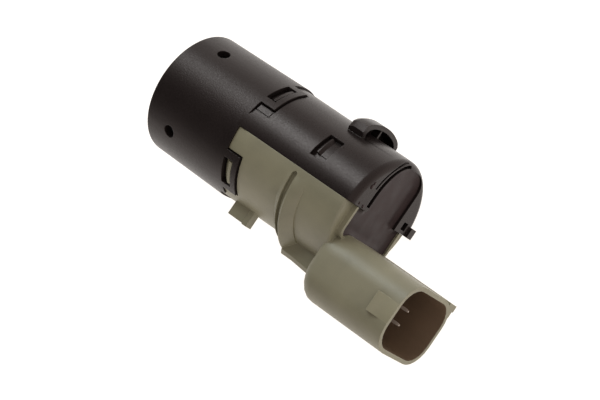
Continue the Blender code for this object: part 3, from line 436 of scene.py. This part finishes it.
def fired_ceramic(name, rgb):
    """Ceramic, pressed, fired and ground.

    To the eye: cream, dense and slightly glossy, with darker grains.
    """
    material, tree, shader = surface(name, IOR=2.0)
    grains = cloud(tree, place(tree), 0.12 * MM, 3.0)
    tree.links.new(blend(tree, spread(tree, grains, 0.0, 1.0), shade(rgb, 0.82), shade(rgb, 1.05)),
                   shader.inputs["Base Color"])
    tree.links.new(spread(tree, grains, 0.32, 0.48), shader.inputs["Roughness"])
    bump = add(tree, "ShaderNodeBump", {"Height": grains, "Distance": 0.003 * MM})
    tree.links.new(bump.outputs["Normal"], shader.inputs["Normal"])
    return material


def closed_foam(rgb):
    """Foamed rubber, cut from sheet.

    To the eye: dull grey with open cells of about a third of a millimetre.
    """
    material, tree, shader = surface("closed_foam", IOR=1.4, Roughness=0.92)
    cells = add(tree, "ShaderNodeTexVoronoi", {"Vector": place(tree), "Scale": 1 / (0.35 * MM)})
    depth = cells.outputs["Distance"]
    # Darker at the bottom of each cell: painted shade in the open cells
    tree.links.new(blend(tree, spread(tree, depth, 0.0, 1.0, 0.1, 0.6), shade(rgb, 0.45),
                         shade(rgb, 1.2)), shader.inputs["Base Color"])
    bump = add(tree, "ShaderNodeBump", {"Height": depth, "Distance": 0.1 * MM})
    tree.links.new(bump.outputs["Normal"], shader.inputs["Normal"])
    return material


def masked_laminate(rgb):
    """Woven glass and epoxy laminate under a green solder mask.

    To the eye: glossy green with the weave just showing and copper tracks as paler green lines.
    """
    material, tree, shader = surface("masked_laminate", IOR=1.5, Coat_Weight=0.3,
                                     Coat_Roughness=0.15)
    where = place(tree)
    warp = add(tree, "ShaderNodeTexWave", {"Vector": where, "Scale": 0.1 / (0.5 * MM)},
               bands_direction="X").outputs["Fac"]
    weft = add(tree, "ShaderNodeTexWave", {"Vector": where, "Scale": 0.1 / (0.5 * MM)},
               bands_direction="Y").outputs["Fac"]
    weave = add(tree, "ShaderNodeMath", {0: warp, 1: weft}, operation="MULTIPLY").outputs[0]
    tracks = add(tree, "ShaderNodeTexBrick", {
        "Vector": where, "Scale": 1 / (2.4 * MM), "Mortar Size": 0.04, "Row Height": 0.6,
        "Brick Width": 1.7, "Color1": (0, 0, 0, 1), "Color2": (0, 0, 0, 1), "Mortar": (1, 1, 1, 1)})
    tone = blend(tree, spread(tree, weave, 0.0, 0.4, 0.0, 1.0), shade(rgb, 0.85), shade(rgb, 1.2))
    tone = blend(tree, tracks.outputs["Color"], tone, shade(rgb, 1.7))
    tree.links.new(tone, shader.inputs["Base Color"])
    tree.links.new(spread(tree, cloud(tree, where, 1.5 * MM), 0.30, 0.42),
                   shader.inputs["Roughness"])
    bump = add(tree, "ShaderNodeBump", {"Height": tracks.outputs["Color"], "Distance": 0.03 * MM})
    tree.links.new(bump.outputs["Normal"], shader.inputs["Normal"])
    return material


def enamelled_copper(rgb):
    """Copper wire with baked enamel, wound in close turns.

    To the eye: warm red-brown with a thin clear gloss and a line between turns 0.2 mm apart.
    """
    material, tree, shader = surface("enamelled_copper", Metallic=1.0, Roughness=0.32,
                                     Coat_Weight=0.7, Coat_Roughness=0.12)
    where = place(tree)
    turns = add(tree, "ShaderNodeTexWave", {"Vector": where, "Scale": 0.05 / (0.2 * MM),
                                            "Distortion": 0.4},
                bands_direction="Z").outputs["Fac"]
    tone = blend(tree, spread(tree, turns, 0.0, 1.0, 0.1, 0.6), shade(rgb, 0.45), shade(rgb, 1.1))
    tree.links.new(tone, shader.inputs["Base Color"])
    bump = add(tree, "ShaderNodeBump", {"Height": turns, "Distance": 0.05 * MM})
    tree.links.new(bump.outputs["Normal"], shader.inputs["Normal"])
    return material


def pressed_ferrite(rgb):
    """Ferrite, pressed from powder and fired.

    To the eye: dark grey with a dull, slightly metallic, pitted skin.
    """
    material, tree, shader = surface("pressed_ferrite", IOR=2.2)
    pits = cloud(tree, place(tree), 0.15 * MM, 4.0, 0.65)
    tree.links.new(blend(tree, spread(tree, pits, 0.0, 1.0), shade(rgb, 0.7), shade(rgb, 1.3)),
                   shader.inputs["Base Color"])
    tree.links.new(spread(tree, pits, 0.68, 0.48), shader.inputs["Roughness"])
    bump = add(tree, "ShaderNodeBump", {"Height": pits, "Distance": 0.01 * MM})
    tree.links.new(bump.outputs["Normal"], shader.inputs["Normal"])
    return material


def moulding_compound(name, rgb, roughness):
    """Epoxy moulding compound, transfer moulded over a small electronic part.

    To the eye: fine matt surface with mineral specks.
    """
    material, tree, shader = surface(name, IOR=1.55)
    where = place(tree)
    filler = cloud(tree, where, 0.08 * MM, 3.0, 0.6)
    tree.links.new(blend(tree, spread(tree, filler, 0.0, 1.0), shade(rgb, 0.8), shade(rgb, 1.35)),
                   shader.inputs["Base Color"])
    tree.links.new(spread(tree, filler, roughness - 0.06, roughness + 0.06),
                   shader.inputs["Roughness"])
    bump = add(tree, "ShaderNodeBump", {"Height": filler, "Distance": 0.004 * MM})
    tree.links.new(bump.outputs["Normal"], shader.inputs["Normal"])
    return material


def opal_sheet(rgb, light, glow):
    """Opal acrylic sheet, lit from below like a light table, so that shadows stay faint.

    To the eye: plain white with a matt skin.
    """
    material, tree, shader = surface("opal_sheet", Roughness=0.8, Emission_Strength=glow,
                                     Emission_Color=shade(light, 1.0))
    skin = cloud(tree, place(tree), 1.2 * MM, 4.0)
    tree.links.new(blend(tree, spread(tree, skin, 0.0, 1.0), shade(rgb, 0.985), shade(rgb, 1.0)),
                   shader.inputs["Base Color"])
    return material


def new_piece(name, shape, material, replaced):
    """Makes a piece from a bmesh, gives it its finish and lets it ride in its node's stead."""
    mesh = bpy.data.meshes.new(name)
    shape.to_mesh(mesh)
    shape.free()
    mesh.materials.append(material)
    piece = bpy.data.objects.new(name, mesh)
    bpy.context.scene.collection.objects.link(piece)
    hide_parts(*replaced)
    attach(piece, BODY)
    return piece


def close_joints(shape):
    """Draws the mouldings together where the solids keep their clearance.

    The photograph shows the halves tight at the seam and the shell close behind the sleeve there.
    A gap stays beside the tabs and where the black shell meets the sleeve away from the seam.
    """
    joint = sizes().joint
    for vertex in shape.verts:
        spot = vertex.co
        if abs(abs(spot.x) - SEAM) < joint / 2:
            spot.x = math.copysign(joint, spot.x)
        if abs(spot.y - SHOULDER) < joint and math.hypot(spot.x, spot.z) > SKIN:
            from_seam = math.degrees(math.atan2(-spot.x, abs(spot.z)))
            share = min(1.0, max(0.0, (FLUSH_END - from_seam) / FLUSH_FADE))
            spot.y -= (SHOULDER - SLEEVE_REAR - joint) * share


def cad_shape(node):
    """A node's mesh with its seams welded and its flat triangles joined into whole faces."""
    shape = bmesh.new()
    shape.from_mesh(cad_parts[node].data)
    bmesh.ops.remove_doubles(shape, verts=shape.verts, dist=WELD)
    if node in ("rear_shell", "connector_housing"):
        close_joints(shape)
    bmesh.ops.dissolve_limit(shape, angle_limit=FLAT, verts=shape.verts, edges=shape.edges)
    return shape


def smooth(shape, angle=28):
    """Shades a shape smooth, with edges sharper than the angle kept sharp."""
    limit = math.radians(angle)
    for face in shape.faces:
        face.smooth = True
    for edge in shape.edges:
        edge.smooth = len(edge.link_faces) == 2 and edge.calc_face_angle(0.0) < limit
    return shape


def barrel_radius(y):
    """Outer radius of the two shells, which taper a little towards the rear."""
    return BARREL_RADIUS - BARREL_DRAFT * y / REAR_FACE


def round_barrel(piece):
    """Shades the shells' barrel as the round form that its narrow flats stand for."""
    mesh = bpy.data.meshes.new_from_object(
        piece.evaluated_get(bpy.context.evaluated_depsgraph_get()))
    piece.modifiers.clear()
    normals = [Vector(corner.vector) for corner in mesh.corner_normals]
    for face in mesh.polygons:
        for loop in face.loop_indices:
            spot = mesh.vertices[mesh.loops[loop].vertex_index].co
            reach = math.hypot(spot.x, spot.z)
            if abs(reach - barrel_radius(spot.y)) > ON_BARREL:
                continue
            outwards = Vector((spot.x / reach, 0, spot.z / reach))
            if abs(face.normal.dot(outwards)) > 0.95:
                normals[loop] = outwards
    mesh.normals_split_custom_set(normals)
    piece.data = mesh


def moulded(node, material, carving=None):
    """A moulded piece: its node's form, carved further if asked, shaded smooth between edges."""
    piece = new_piece("dressed_" + node, smooth(cad_shape(node)), material, [node])
    if carving:
        carving(piece)
    even = piece.modifiers.new("even normals", "WEIGHTED_NORMAL")
    even.keep_sharp = True
    even.weight = 100
    if node != "front_sleeve":
        round_barrel(piece)
    return piece


def in_socket(face):
    """Whether a face lines the plug socket's cavity."""
    spot = face.center
    middle = (SOCKET_LEFT + SOCKET_RIGHT) / 2
    margin = SOCKET_WALL - SLACK
    if (spot.y < SOCKET_FLOOR - SLACK or abs(spot.z) > SOCKET_TOP - margin
            or abs(spot.x - middle) > SOCKET_RIGHT - middle - margin):
        return False
    inwards = Vector((middle - spot.x, 0, -spot.z)).dot(face.normal)
    return inwards > MM or (face.normal.y > 0.9 and spot.y < SOCKET_FLOOR + SLACK)


def refinish(material, *nodes):
    """Gives solids that stay as they are a better finish."""
    for node in nodes:
        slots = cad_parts[node].material_slots
        for slot in slots:
            slot.material = material


class SENSOR_OT_front_sleeve(bpy.types.Operator):
    """Front sleeve: moulded black PBT"""
    bl_idname = "sensor.front_sleeve"
    bl_label = "Front sleeve"

    def execute(self, context):
        finish = eroded_pbt("black_pbt_sleeve", colours().black_pbt, fibre=0.18, edge_highlight=0.25,
                            dullness=0.36, depth=3.2, **CARBON)
        moulded("front_sleeve", finish)
        return {"FINISHED"}


def helper(name, shape):
    """A body that only serves to carve another one."""
    bmesh.ops.recalc_face_normals(shape, faces=shape.faces)
    mesh = bpy.data.meshes.new(name)
    shape.to_mesh(mesh)
    shape.free()
    item = bpy.data.objects.new(name, mesh)
    bpy.context.scene.collection.objects.link(item)
    return item


def rectangle(left, right, low, high):
    """(x, z) outline of a rectangle."""
    return [(left, low), (right, low), (right, high), (left, high)]


def prism(name, outline, start, end):
    """A body with an (x, z) outline, from start to end along the barrel."""
    shape = bmesh.new()
    rings = [[shape.verts.new((x, y, z)) for x, z in outline] for y in (start, end)]
    for ring in rings:
        shape.faces.new(ring)
    for i in range(len(outline)):
        j = (i + 1) % len(outline)
        shape.faces.new((rings[0][i], rings[0][j], rings[1][j], rings[1][i]))
    return helper(name, shape)


def carve(body, tool, operation):
    """Applies a Boolean to a body with a helper, and removes the helper."""
    step = body.modifiers.new(operation, "BOOLEAN")
    step.operation, step.solver, step.object = operation, "EXACT", tool
    mesh = bpy.data.meshes.new_from_object(
        body.evaluated_get(bpy.context.evaluated_depsgraph_get()))
    body.modifiers.clear()
    body.data = mesh
    bpy.data.objects.remove(tool)


def near_curve(grow, start, sweep=90, sideways=1.0):
    """(x, z) points of the well's near side and its wide corner, from x = start to the left.

    The curve lies grow outside the well, and sideways is the share of that left at its end.
    """
    low = WELL_NEAR - WELL_NEAR_CORNER
    points = [] if start > WELL_STRAIGHT else [(-start, WELL_NEAR + grow)]
    for i in range(CURVE_STEPS + 1):
        turn = math.radians(sweep * i / CURVE_STEPS)
        x = WELL_STRAIGHT + (WELL_LEFT - WELL_STRAIGHT + grow * sideways) * math.sin(turn)
        if x >= start:
            points.append((-x, low + (WELL_NEAR - low + grow) * math.cos(turn)))
    return points


def well_outline(seam):
    """(x, z) outline of the black shell's well, from the seam on its near side to the far one."""
    points = near_curve(0.0, -seam)
    middle = WELL_LEFT - WELL_FAR_CORNER
    for i in range(QUARTER_STEPS + 1):
        turn = math.pi / (2 * QUARTER_STEPS) * i
        points.append((-middle - WELL_FAR_CORNER * math.cos(turn),
                       -WELL_FAR + WELL_FAR_CORNER * (1 - math.sin(turn))))
    return points + [(seam, -WELL_FAR)]


def end_disc():
    """Full round end of the barrel behind the rebuilt plane, with its rounded edge."""
    edge = sizes().rear_edge
    profile = [(REAR_START, barrel_radius(REAR_START))]
    for i in range(EDGE_STEPS + 1):
        turn = math.pi / (2 * EDGE_STEPS) * i
        profile.append((REAR_FACE - edge * (1 - math.sin(turn)),
                        barrel_radius(REAR_FACE) - edge * (1 - math.cos(turn))))
    turns = [math.tau * i / BARREL_SIDES for i in range(BARREL_SIDES)]
    shape = bmesh.new()
    rings = [[shape.verts.new((radius * math.sin(turn), y, radius * math.cos(turn)))
              for turn in turns] for y, radius in profile]
    for first, second in zip(rings, rings[1:]):
        for i in range(BARREL_SIDES):
            j = (i + 1) % BARREL_SIDES
            shape.faces.new((first[i], first[j], second[j], second[i]))
    shape.faces.new(rings[0])
    shape.faces.new(rings[-1])
    return helper("end", shape)


def rear_end():
    """End of the black shell: well with a wide round corner, two grooves, vent and seam step."""
    end = end_disc()
    step = rectangle(-STEP_WIDTH, BEYOND, -STEP_OUT, -STEP_IN)
    carve(end, prism("step", step, REAR_FACE - STEP_LENGTH, REAR_FACE + BEYOND), "UNION")
    carve(end, prism("well", well_outline(BEYOND), REAR_START - BEYOND, REAR_FACE + BEYOND),
          "DIFFERENCE")
    for near, far, start, sweep, depth in GROOVES:
        rim = near_curve(far * MM, start * MM, sweep, GROOVE_SIDEWAYS)
        back = near_curve(near * MM, start * MM, sweep, GROOVE_SIDEWAYS)
        carve(end, prism("groove", rim + back[::-1], REAR_FACE - depth * MM, REAR_FACE + BEYOND),
              "DIFFERENCE")
    vent = rectangle(VENT_LEFT, VENT_RIGHT, VENT_LOW, VENT_HIGH)
    carve(end, prism("vent", vent, REAR_FACE - VENT_DEPTH, REAR_FACE + 2 * BEYOND), "DIFFERENCE")
    wide = 20 * MM
    carve(end, prism("other half", rectangle(-sizes().joint, wide, -wide, wide), 0.0, 3 * wide),
          "DIFFERENCE")
    return end


def folded_over(face):
    """Whether a sliver of the barrel's skin faces inwards, as a few of the solid's do."""
    corner = face.verts[0].co
    if face.normal.dot(Vector((corner.x, 0, corner.z)).normalized()) >= -0.5:
        return False
    return all(abs(math.hypot(vertex.co.x, vertex.co.z) - barrel_radius(vertex.co.y))
               < NEAR_BARREL for vertex in face.verts)


def carve_shell(piece):
    """Outlines the plate and swaps the shell's end for one with finer forms than the solid has."""
    outline_plate(piece)
    shape = bmesh.new()
    shape.from_mesh(piece.data)
    bmesh.ops.bisect_plane(shape, geom=shape.verts[:] + shape.edges[:] + shape.faces[:],
                           plane_co=(0, REAR_START, 0), plane_no=(0, 1, 0), clear_outer=True)
    end = rear_end()
    shape.from_mesh(end.data)
    bpy.data.objects.remove(end)
    # The new end's flat front would lie inside the shell, across the wall
    inner = [face for face in shape.faces
             if all(abs(vertex.co.y - REAR_START) < IN_PLANE for vertex in face.verts)]
    bmesh.ops.delete(shape, geom=inner, context="FACES_ONLY")
    folded = [face for face in shape.faces if folded_over(face)]
    bmesh.ops.delete(shape, geom=folded, context="FACES_ONLY")
    smooth(shape)
    shape.to_mesh(piece.data)
    shape.free()


def ring_sector(first, last, inner, outer, count=8):
    """(x, z) outline of a piece of a ring; angles in degrees from the near seam towards +X."""
    turns = [math.radians(first + (last - first) * i / count) for i in range(count + 1)]
    return ([(outer * math.sin(turn), outer * math.cos(turn)) for turn in turns]
            + [(inner * math.sin(turn), inner * math.cos(turn)) for turn in reversed(turns)])


def outline_plate(piece):
    """Cuts the fine outline of a small plate into the shell beside the near tab."""
    deep, high = barrel_radius(22 * MM) - PLATE_DEPTH, BARREL_RADIUS + MM
    side = ring_sector(*PLATE_SIDE, deep, high, 2)
    carve(piece, prism("outline", side, PLATE_START, PLATE_END), "DIFFERENCE")
    rear = ring_sector(PLATE_CORNER, PLATE_SIDE[1], deep, high)
    carve(piece, prism("outline", rear, PLATE_END - PLATE_LINE, PLATE_END), "DIFFERENCE")


def eased(value):
    """A value kept between 0 and 1 and eased at both ends."""
    value = min(1.0, max(0.0, value))
    return value * value * (3 - 2 * value)


def weld_film():
    """Film that fills the step between the sleeve and the shell next to the near seam."""
    shape = bmesh.new()
    rows = []
    for i in range(FILM_ROWS + 1):
        y = FILM_START + (FILM_END - FILM_START) * i / FILM_ROWS
        ramp = 1 - eased((y - SLEEVE_REAR) / (FILM_END - SLEEVE_REAR))
        skin = barrel_radius(y)
        low, high = skin - FILM_SINK, skin + (FILM_TOP - skin) * ramp + FILM_LIFT
        row = []
        for j in range(FILM_COLUMNS + 1):
            turn = FILM_SWEEP * j / FILM_COLUMNS
            reach = low + (high - low) * eased((FILM_SWEEP - turn) / FILM_FADE)
            x = -max(reach * math.sin(math.radians(turn)), sizes().joint)
            row.append(shape.verts.new((x, y, math.sqrt(reach * reach - x * x))))
        rows.append(row)
    for first, second in zip(rows, rows[1:]):
        for j in range(FILM_COLUMNS):
            shape.faces.new((first[j], second[j], second[j + 1], first[j + 1]))
    bmesh.ops.recalc_face_normals(shape, faces=shape.faces)
    if shape.faces[:][0].normal.z < 0:
        bmesh.ops.reverse_faces(shape, faces=shape.faces)
    return shape


def spilt_drops():
    """Small flat drops of resin on the shell's rear face, next to the near seam."""
    radius = sizes().drop
    shape = bmesh.new()
    for x, z, share in DROPS:
        drop = bmesh.ops.create_uvsphere(shape, u_segments=20, v_segments=12,
                                         radius=radius * share)["verts"]
        for vertex in drop:
            vertex.co.y *= DROP_FLATNESS
            vertex.co += Vector((x * MM, REAR_FACE, z * MM))
    return shape


class SENSOR_OT_rear_shell(bpy.types.Operator):
    """Rear shell: moulded black PBT"""
    bl_idname = "sensor.rear_shell"
    bl_label = "Rear shell"

    def execute(self, context):
        finish = eroded_pbt("black_pbt_shell", colours().black_pbt, fibre=0.06, edge_highlight=0.25,
                            dullness=0.31, **CARBON)
        moulded("rear_shell", finish, carve_shell)
        film = new_piece("weld_film", smooth(weld_film()), finish,
                         ["rear_shell"]).data
        spots = [film.vertices[loop.vertex_index].co for loop in film.loops]
        film.normals_split_custom_set([Vector((spot.x, 0, spot.z)).normalized()
                                       for spot in spots])
        return {"FINISHED"}


class SENSOR_OT_connector_housing(bpy.types.Operator):
    """Connector housing: moulded grey-green PBT"""
    bl_idname = "sensor.connector_housing"
    bl_label = "Connector housing"

    def execute(self, context):
        palette = colours()
        finish = eroded_pbt("grey_pbt", palette.grey_pbt, fibre=0.05, edge_highlight=0.6, dullness=0.48)
        piece = moulded("connector_housing", finish)
        # The cavity's walls get a darker, browner copy of the grey: painted shade where little
        # light reaches
        inside = eroded_pbt("grey_pbt_socket_shade", palette.socket_painted_shade, fibre=0.05, edge_highlight=0.2,
                            dullness=0.48)
        # The catch is paler in the photograph than the wall that it stands on
        # Its upward faces get a paler copy of the grey: painted highlight
        catch = eroded_pbt("grey_pbt_catch_highlight", shade(palette.grey_pbt, 1.2)[:3], fibre=0.05,
                           edge_highlight=0.6, dullness=0.42)
        piece.data.materials.append(inside)
        piece.data.materials.append(catch)
        for face in piece.data.polygons:
            if in_socket(face):
                face.material_index = 1
            elif (face.normal.z > 0.9 and face.center.z > SOCKET_TOP
                    and face.center.y > CATCH_START):
                face.material_index = 2
        return {"FINISHED"}


def housing_side():
    """(x, z) rim of the resin on the housing's side, from the far seam to the near one.

    It runs on beside the socket's round corners, as far as the housing's well.
    """
    inner, start = WELL_REACH - WELL_CORNER, SOCKET_TOP - SOCKET_CORNER
    quarter = [(0.0, WELL_HALF), (inner, WELL_HALF)]
    for i in range(1, QUARTER_STEPS + 1):
        turn = math.pi / (2 * QUARTER_STEPS) * i
        quarter.append((inner + WELL_CORNER * math.sin(turn),
                        WELL_HALF - WELL_CORNER * (1 - math.cos(turn))))
    for i in range(SOCKET_STEPS + 1):
        height = WELL_HALF - WELL_CORNER - (WELL_HALF - WELL_CORNER - start) * i / SOCKET_STEPS
        drop = math.sqrt(SOCKET_CORNER ** 2 - (height - start) ** 2)
        quarter.append((min(WELL_REACH, SOCKET_LEFT + SOCKET_CORNER - drop), height))
    return [(x, -z) for x, z in quarter] + list(reversed(quarter))


def resin_outline(step=0.35 * MM):
    """The rim of the resin against the wall of its well, with a point every step."""
    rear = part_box("resin_potting")[1].y
    outline = housing_side() + well_outline(0.0)
    corners = [Vector((x, rear, z)) for x, z in outline]
    points = []
    for corner, following in zip(corners, corners[1:] + corners[:1]):
        count = max(1, round((following - corner).length / step))
        points += [corner.lerp(following, i / count) for i in range(count)]
    return points, rear


def resin_shape():
    """Cured resin with a meniscus at its rim and slow waves, closed by a flat underside."""
    rim, rear = resin_outline()
    size = sizes()
    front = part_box("resin_potting")[0].y
    middle = Vector((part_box("resin_potting")[1].x * RESIN_MIDDLE, rear, 0))
    shape = bmesh.new()
    shares = [1 - (i / RESIN_RINGS) ** RIM_CROWDING for i in range(RESIN_RINGS)]
    rings = []
    for share in shares:
        ring = []
        for point in rim:
            spot = middle.lerp(point, share)
            gap = min((spot - other).length for other in rim)
            climb = max(0.0, 1 - gap / size.meniscus_width) ** MENISCUS_POWER * size.meniscus
            wave = noise.noise(spot / WAVE_LENGTH) * size.resin_waves
            ring.append(shape.verts.new(spot + Vector((0, climb + wave, 0))))
        rings.append(ring)
    base = [shape.verts.new(Vector((point.x, front, point.z))) for point in rim]
    rings.insert(0, base)
    count = len(rim)
    for outer, inner in zip(rings, rings[1:]):
        for i in range(count):
            j = (i + 1) % count
            shape.faces.new((outer[i], outer[j], inner[j], inner[i]))
    top = shape.verts.new(middle)
    for i in range(count):
        shape.faces.new((rings[-1][i], rings[-1][(i + 1) % count], top))
    shape.faces.new(list(reversed(base)))
    bmesh.ops.recalc_face_normals(shape, faces=shape.faces)
    return smooth(shape, 50)


class SENSOR_OT_resin_potting(bpy.types.Operator):
    """Cast resin that fills the well at the rear"""
    bl_idname = "sensor.resin_potting"
    bl_label = "Potting resin"

    def execute(self, context):
        resin = cast_resin(colours().resin)
        new_piece("cast_resin_fill", resin_shape(), resin, ["resin_potting"])
        new_piece("spilt_resin_drops", smooth(spilt_drops(), 60), resin,
                  ["resin_potting"])
        return {"FINISHED"}


def pin_shape(node):
    """A square pin with broken edges and a four-sided point."""
    shape = cad_shape(node)
    tip = max(vertex.co.y for vertex in shape.verts)
    taper = sizes().pin_taper
    bmesh.ops.bisect_plane(shape, geom=shape.verts[:] + shape.edges[:] + shape.faces[:],
                           plane_co=(0, tip - taper, 0), plane_no=(0, 1, 0))
    ends = [vertex for vertex in shape.verts if vertex.co.y > tip - taper / 4]
    middle = sum((vertex.co for vertex in ends), Vector()) / len(ends)
    for vertex in ends:
        vertex.co = middle.lerp(vertex.co, PIN_POINT)
    sharp = [edge for edge in shape.edges if edge.calc_face_angle(0.0) > math.radians(30)]
    bmesh.ops.bevel(shape, geom=sharp, offset=PIN_EDGE, segments=2, affect="EDGES",
                    clamp_overlap=True)
    return smooth(shape, 60)


class SENSOR_OT_contact_pins(bpy.types.Operator):
    """Tin-plated contact pins"""
    bl_idname = "sensor.contact_pins"
    bl_label = "Contact pins"

    def execute(self, context):
        plating = tinned_bronze(colours().tin)
        for node in sorted(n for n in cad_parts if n.startswith("contact_pin_")):
            new_piece("plated_" + node, pin_shape(node), plating, [node])
        return {"FINISHED"}


class SENSOR_OT_transducer(bpy.types.Operator):
    """Lacquered cup, silicone ring, ceramic disc and damping pad"""
    bl_idname = "sensor.transducer"
    bl_label = "Transducer"

    def execute(self, context):
        moulded("transducer_cup", lacquered_aluminium(colours().lacquer))
        moulded("decoupling_ring", silicone_rubber(colours().silicone))
        refinish(fired_ceramic("fired_disc", colours().ceramic), "piezo_disc")
        refinish(closed_foam(colours().foam), "damping_pad")
        refinish(enamelled_copper(colours().copper), "lead_wire_1", "lead_wire_2")
        return {"FINISHED"}


class SENSOR_OT_electronics(bpy.types.Operator):
    """Circuit board, transformer and the parts on the board"""
    bl_idname = "sensor.electronics"
    bl_label = "Electronics"

    def execute(self, context):
        palette = colours()
        refinish(masked_laminate(palette.laminate), "circuit_board")
        refinish(enamelled_copper(palette.copper), "transformer_winding")
        refinish(pressed_ferrite(palette.ferrite), "transformer_core")
        refinish(moulding_compound("moulded_bobbin", palette.epoxy, 0.5), "transformer_bobbin")
        refinish(moulding_compound("moulded_epoxy", palette.epoxy, 0.45), "control_chip",
                 "resistor_1", "resistor_2", "clamp_diode")
        refinish(moulding_compound("tantalum_case", palette.tantalum, 0.4), "storage_capacitor")
        refinish(fired_ceramic("fired_chip", palette.ceramic), "filter_capacitor_1",
                 "filter_capacitor_2")
        return {"FINISHED"}


def softbox(name, towards, distance, width, height, power, rgb):
    """A soft rectangular light that faces the middle of the part."""
    low, high = cad_box
    light = bpy.data.lights.new(name, "AREA")
    light.shape = "RECTANGLE"
    light.size, light.size_y = width, height
    light.energy = power
    light.color = rgb
    lamp = bpy.data.objects.new(name, light)
    direction = Vector(towards).normalized()
    lamp.location = (low + high) / 2 + direction * distance
    lamp.rotation_euler = direction.to_track_quat("Z", "Y").to_euler()
    bpy.context.scene.collection.objects.link(lamp)


def light_tent(rgb):
    """World light: a pale tent with a dark gap in its roof, which the barrel's top reflects."""
    world = bpy.data.worlds.new("light_tent")
    world.use_nodes = True
    tree = world.node_tree
    way = add(tree, "ShaderNodeTexCoord").outputs["Generated"]
    facing = add(tree, "ShaderNodeVectorMath", {0: way, 1: ROOF_GAP}, operation="DOT_PRODUCT")
    dim = add(tree, "ShaderNodeMapRange", {"Value": facing.outputs["Value"],
                                           "From Min": GAP_EDGE[0], "From Max": GAP_EDGE[1]},
              interpolation_type="SMOOTHSTEP")
    tone = blend(tree, dim.outputs["Result"], shade(rgb, 1.0), shade(rgb, GAP_SHADE))
    tree.links.new(tone, tree.nodes["Background"].inputs["Color"])
    bpy.context.scene.world = world


def floor_sheet():
    """Opal sheet under the part, 6 m wide. In level views its far edge shows as a horizon."""
    half = 3.0
    height = cad_box[0].z - 0.05 * MM
    shape = bmesh.new()
    corners = [(x * half, y * half, height) for x, y in ((-1, -1), (1, -1), (1, 1), (-1, 1))]
    shape.faces.new([shape.verts.new(corner) for corner in corners])
    mesh = bpy.data.meshes.new("opal_floor")
    shape.to_mesh(mesh)
    shape.free()
    mesh.materials.append(opal_sheet(studio().floor, studio().floor_light, studio().floor_glow))
    sheet = bpy.data.objects.new("opal_floor", mesh)
    bpy.context.scene.collection.objects.link(sheet)


class SENSOR_OT_studio(bpy.types.Operator):
    """Camera, soft light and a pale floor"""
    bl_idname = "sensor.studio"
    bl_label = "Studio"

    def execute(self, context):
        scene, setting = context.scene, studio()
        camera = bpy.data.cameras.new("camera")
        camera.lens = setting.lens
        camera.clip_start, camera.clip_end = 0.01, 10.0
        stand = bpy.data.objects.new("camera", camera)
        stand.location = setting.camera_place
        stand.rotation_euler = setting.camera_turn
        scene.collection.objects.link(stand)
        scene.camera = stand
        light_tent(setting.tent)
        floor_sheet()
        softbox("key", KEY_SIDE, KEY_DISTANCE, KEY_WIDTH, KEY_HEIGHT, setting.key_power,
                setting.key_colour)
        scene.view_settings.view_transform = "Standard"
        return {"FINISHED"}


PIECES = (SENSOR_OT_front_sleeve, SENSOR_OT_rear_shell, SENSOR_OT_connector_housing,
          SENSOR_OT_resin_potting, SENSOR_OT_contact_pins, SENSOR_OT_transducer,
          SENSOR_OT_electronics, SENSOR_OT_studio)


class SENSOR_PT_parts(bpy.types.Panel):
    """Lists the sensor's pieces and its studio"""
    bl_label = "Parking sensor"
    bl_idname = "SENSOR_PT_parts"
    bl_space_type = "VIEW_3D"
    bl_region_type = "UI"
    bl_category = "Sensor"

    def draw(self, context):
        for piece in PIECES:
            self.layout.operator(piece.bl_idname)
        for group in (sizes(), colours(), studio()):
            box = self.layout.box()
            for name in group.__annotations__:
                box.prop(group, name)


GROUPS = {"sensor_sizes": SensorSizes, "sensor_colours": SensorColours,
          "sensor_studio": SensorStudio}


def register():
    for group in GROUPS.values():
        bpy.utils.register_class(group)
    for name, group in GROUPS.items():
        setattr(bpy.types.Scene, name, PointerProperty(type=group))
    for entry in (*PIECES, SENSOR_PT_parts):
        bpy.utils.register_class(entry)


def unregister():
    for entry in reversed((*PIECES, SENSOR_PT_parts)):
        bpy.utils.unregister_class(entry)
    for name in GROUPS:
        delattr(bpy.types.Scene, name)
    for group in reversed(GROUPS.values()):
        bpy.utils.unregister_class(group)


def main():
    register()
    for piece in PIECES:
        group, name = piece.bl_idname.split(".")
        getattr(getattr(bpy.ops, group), name)()


if __name__ == "__main__":
    main()
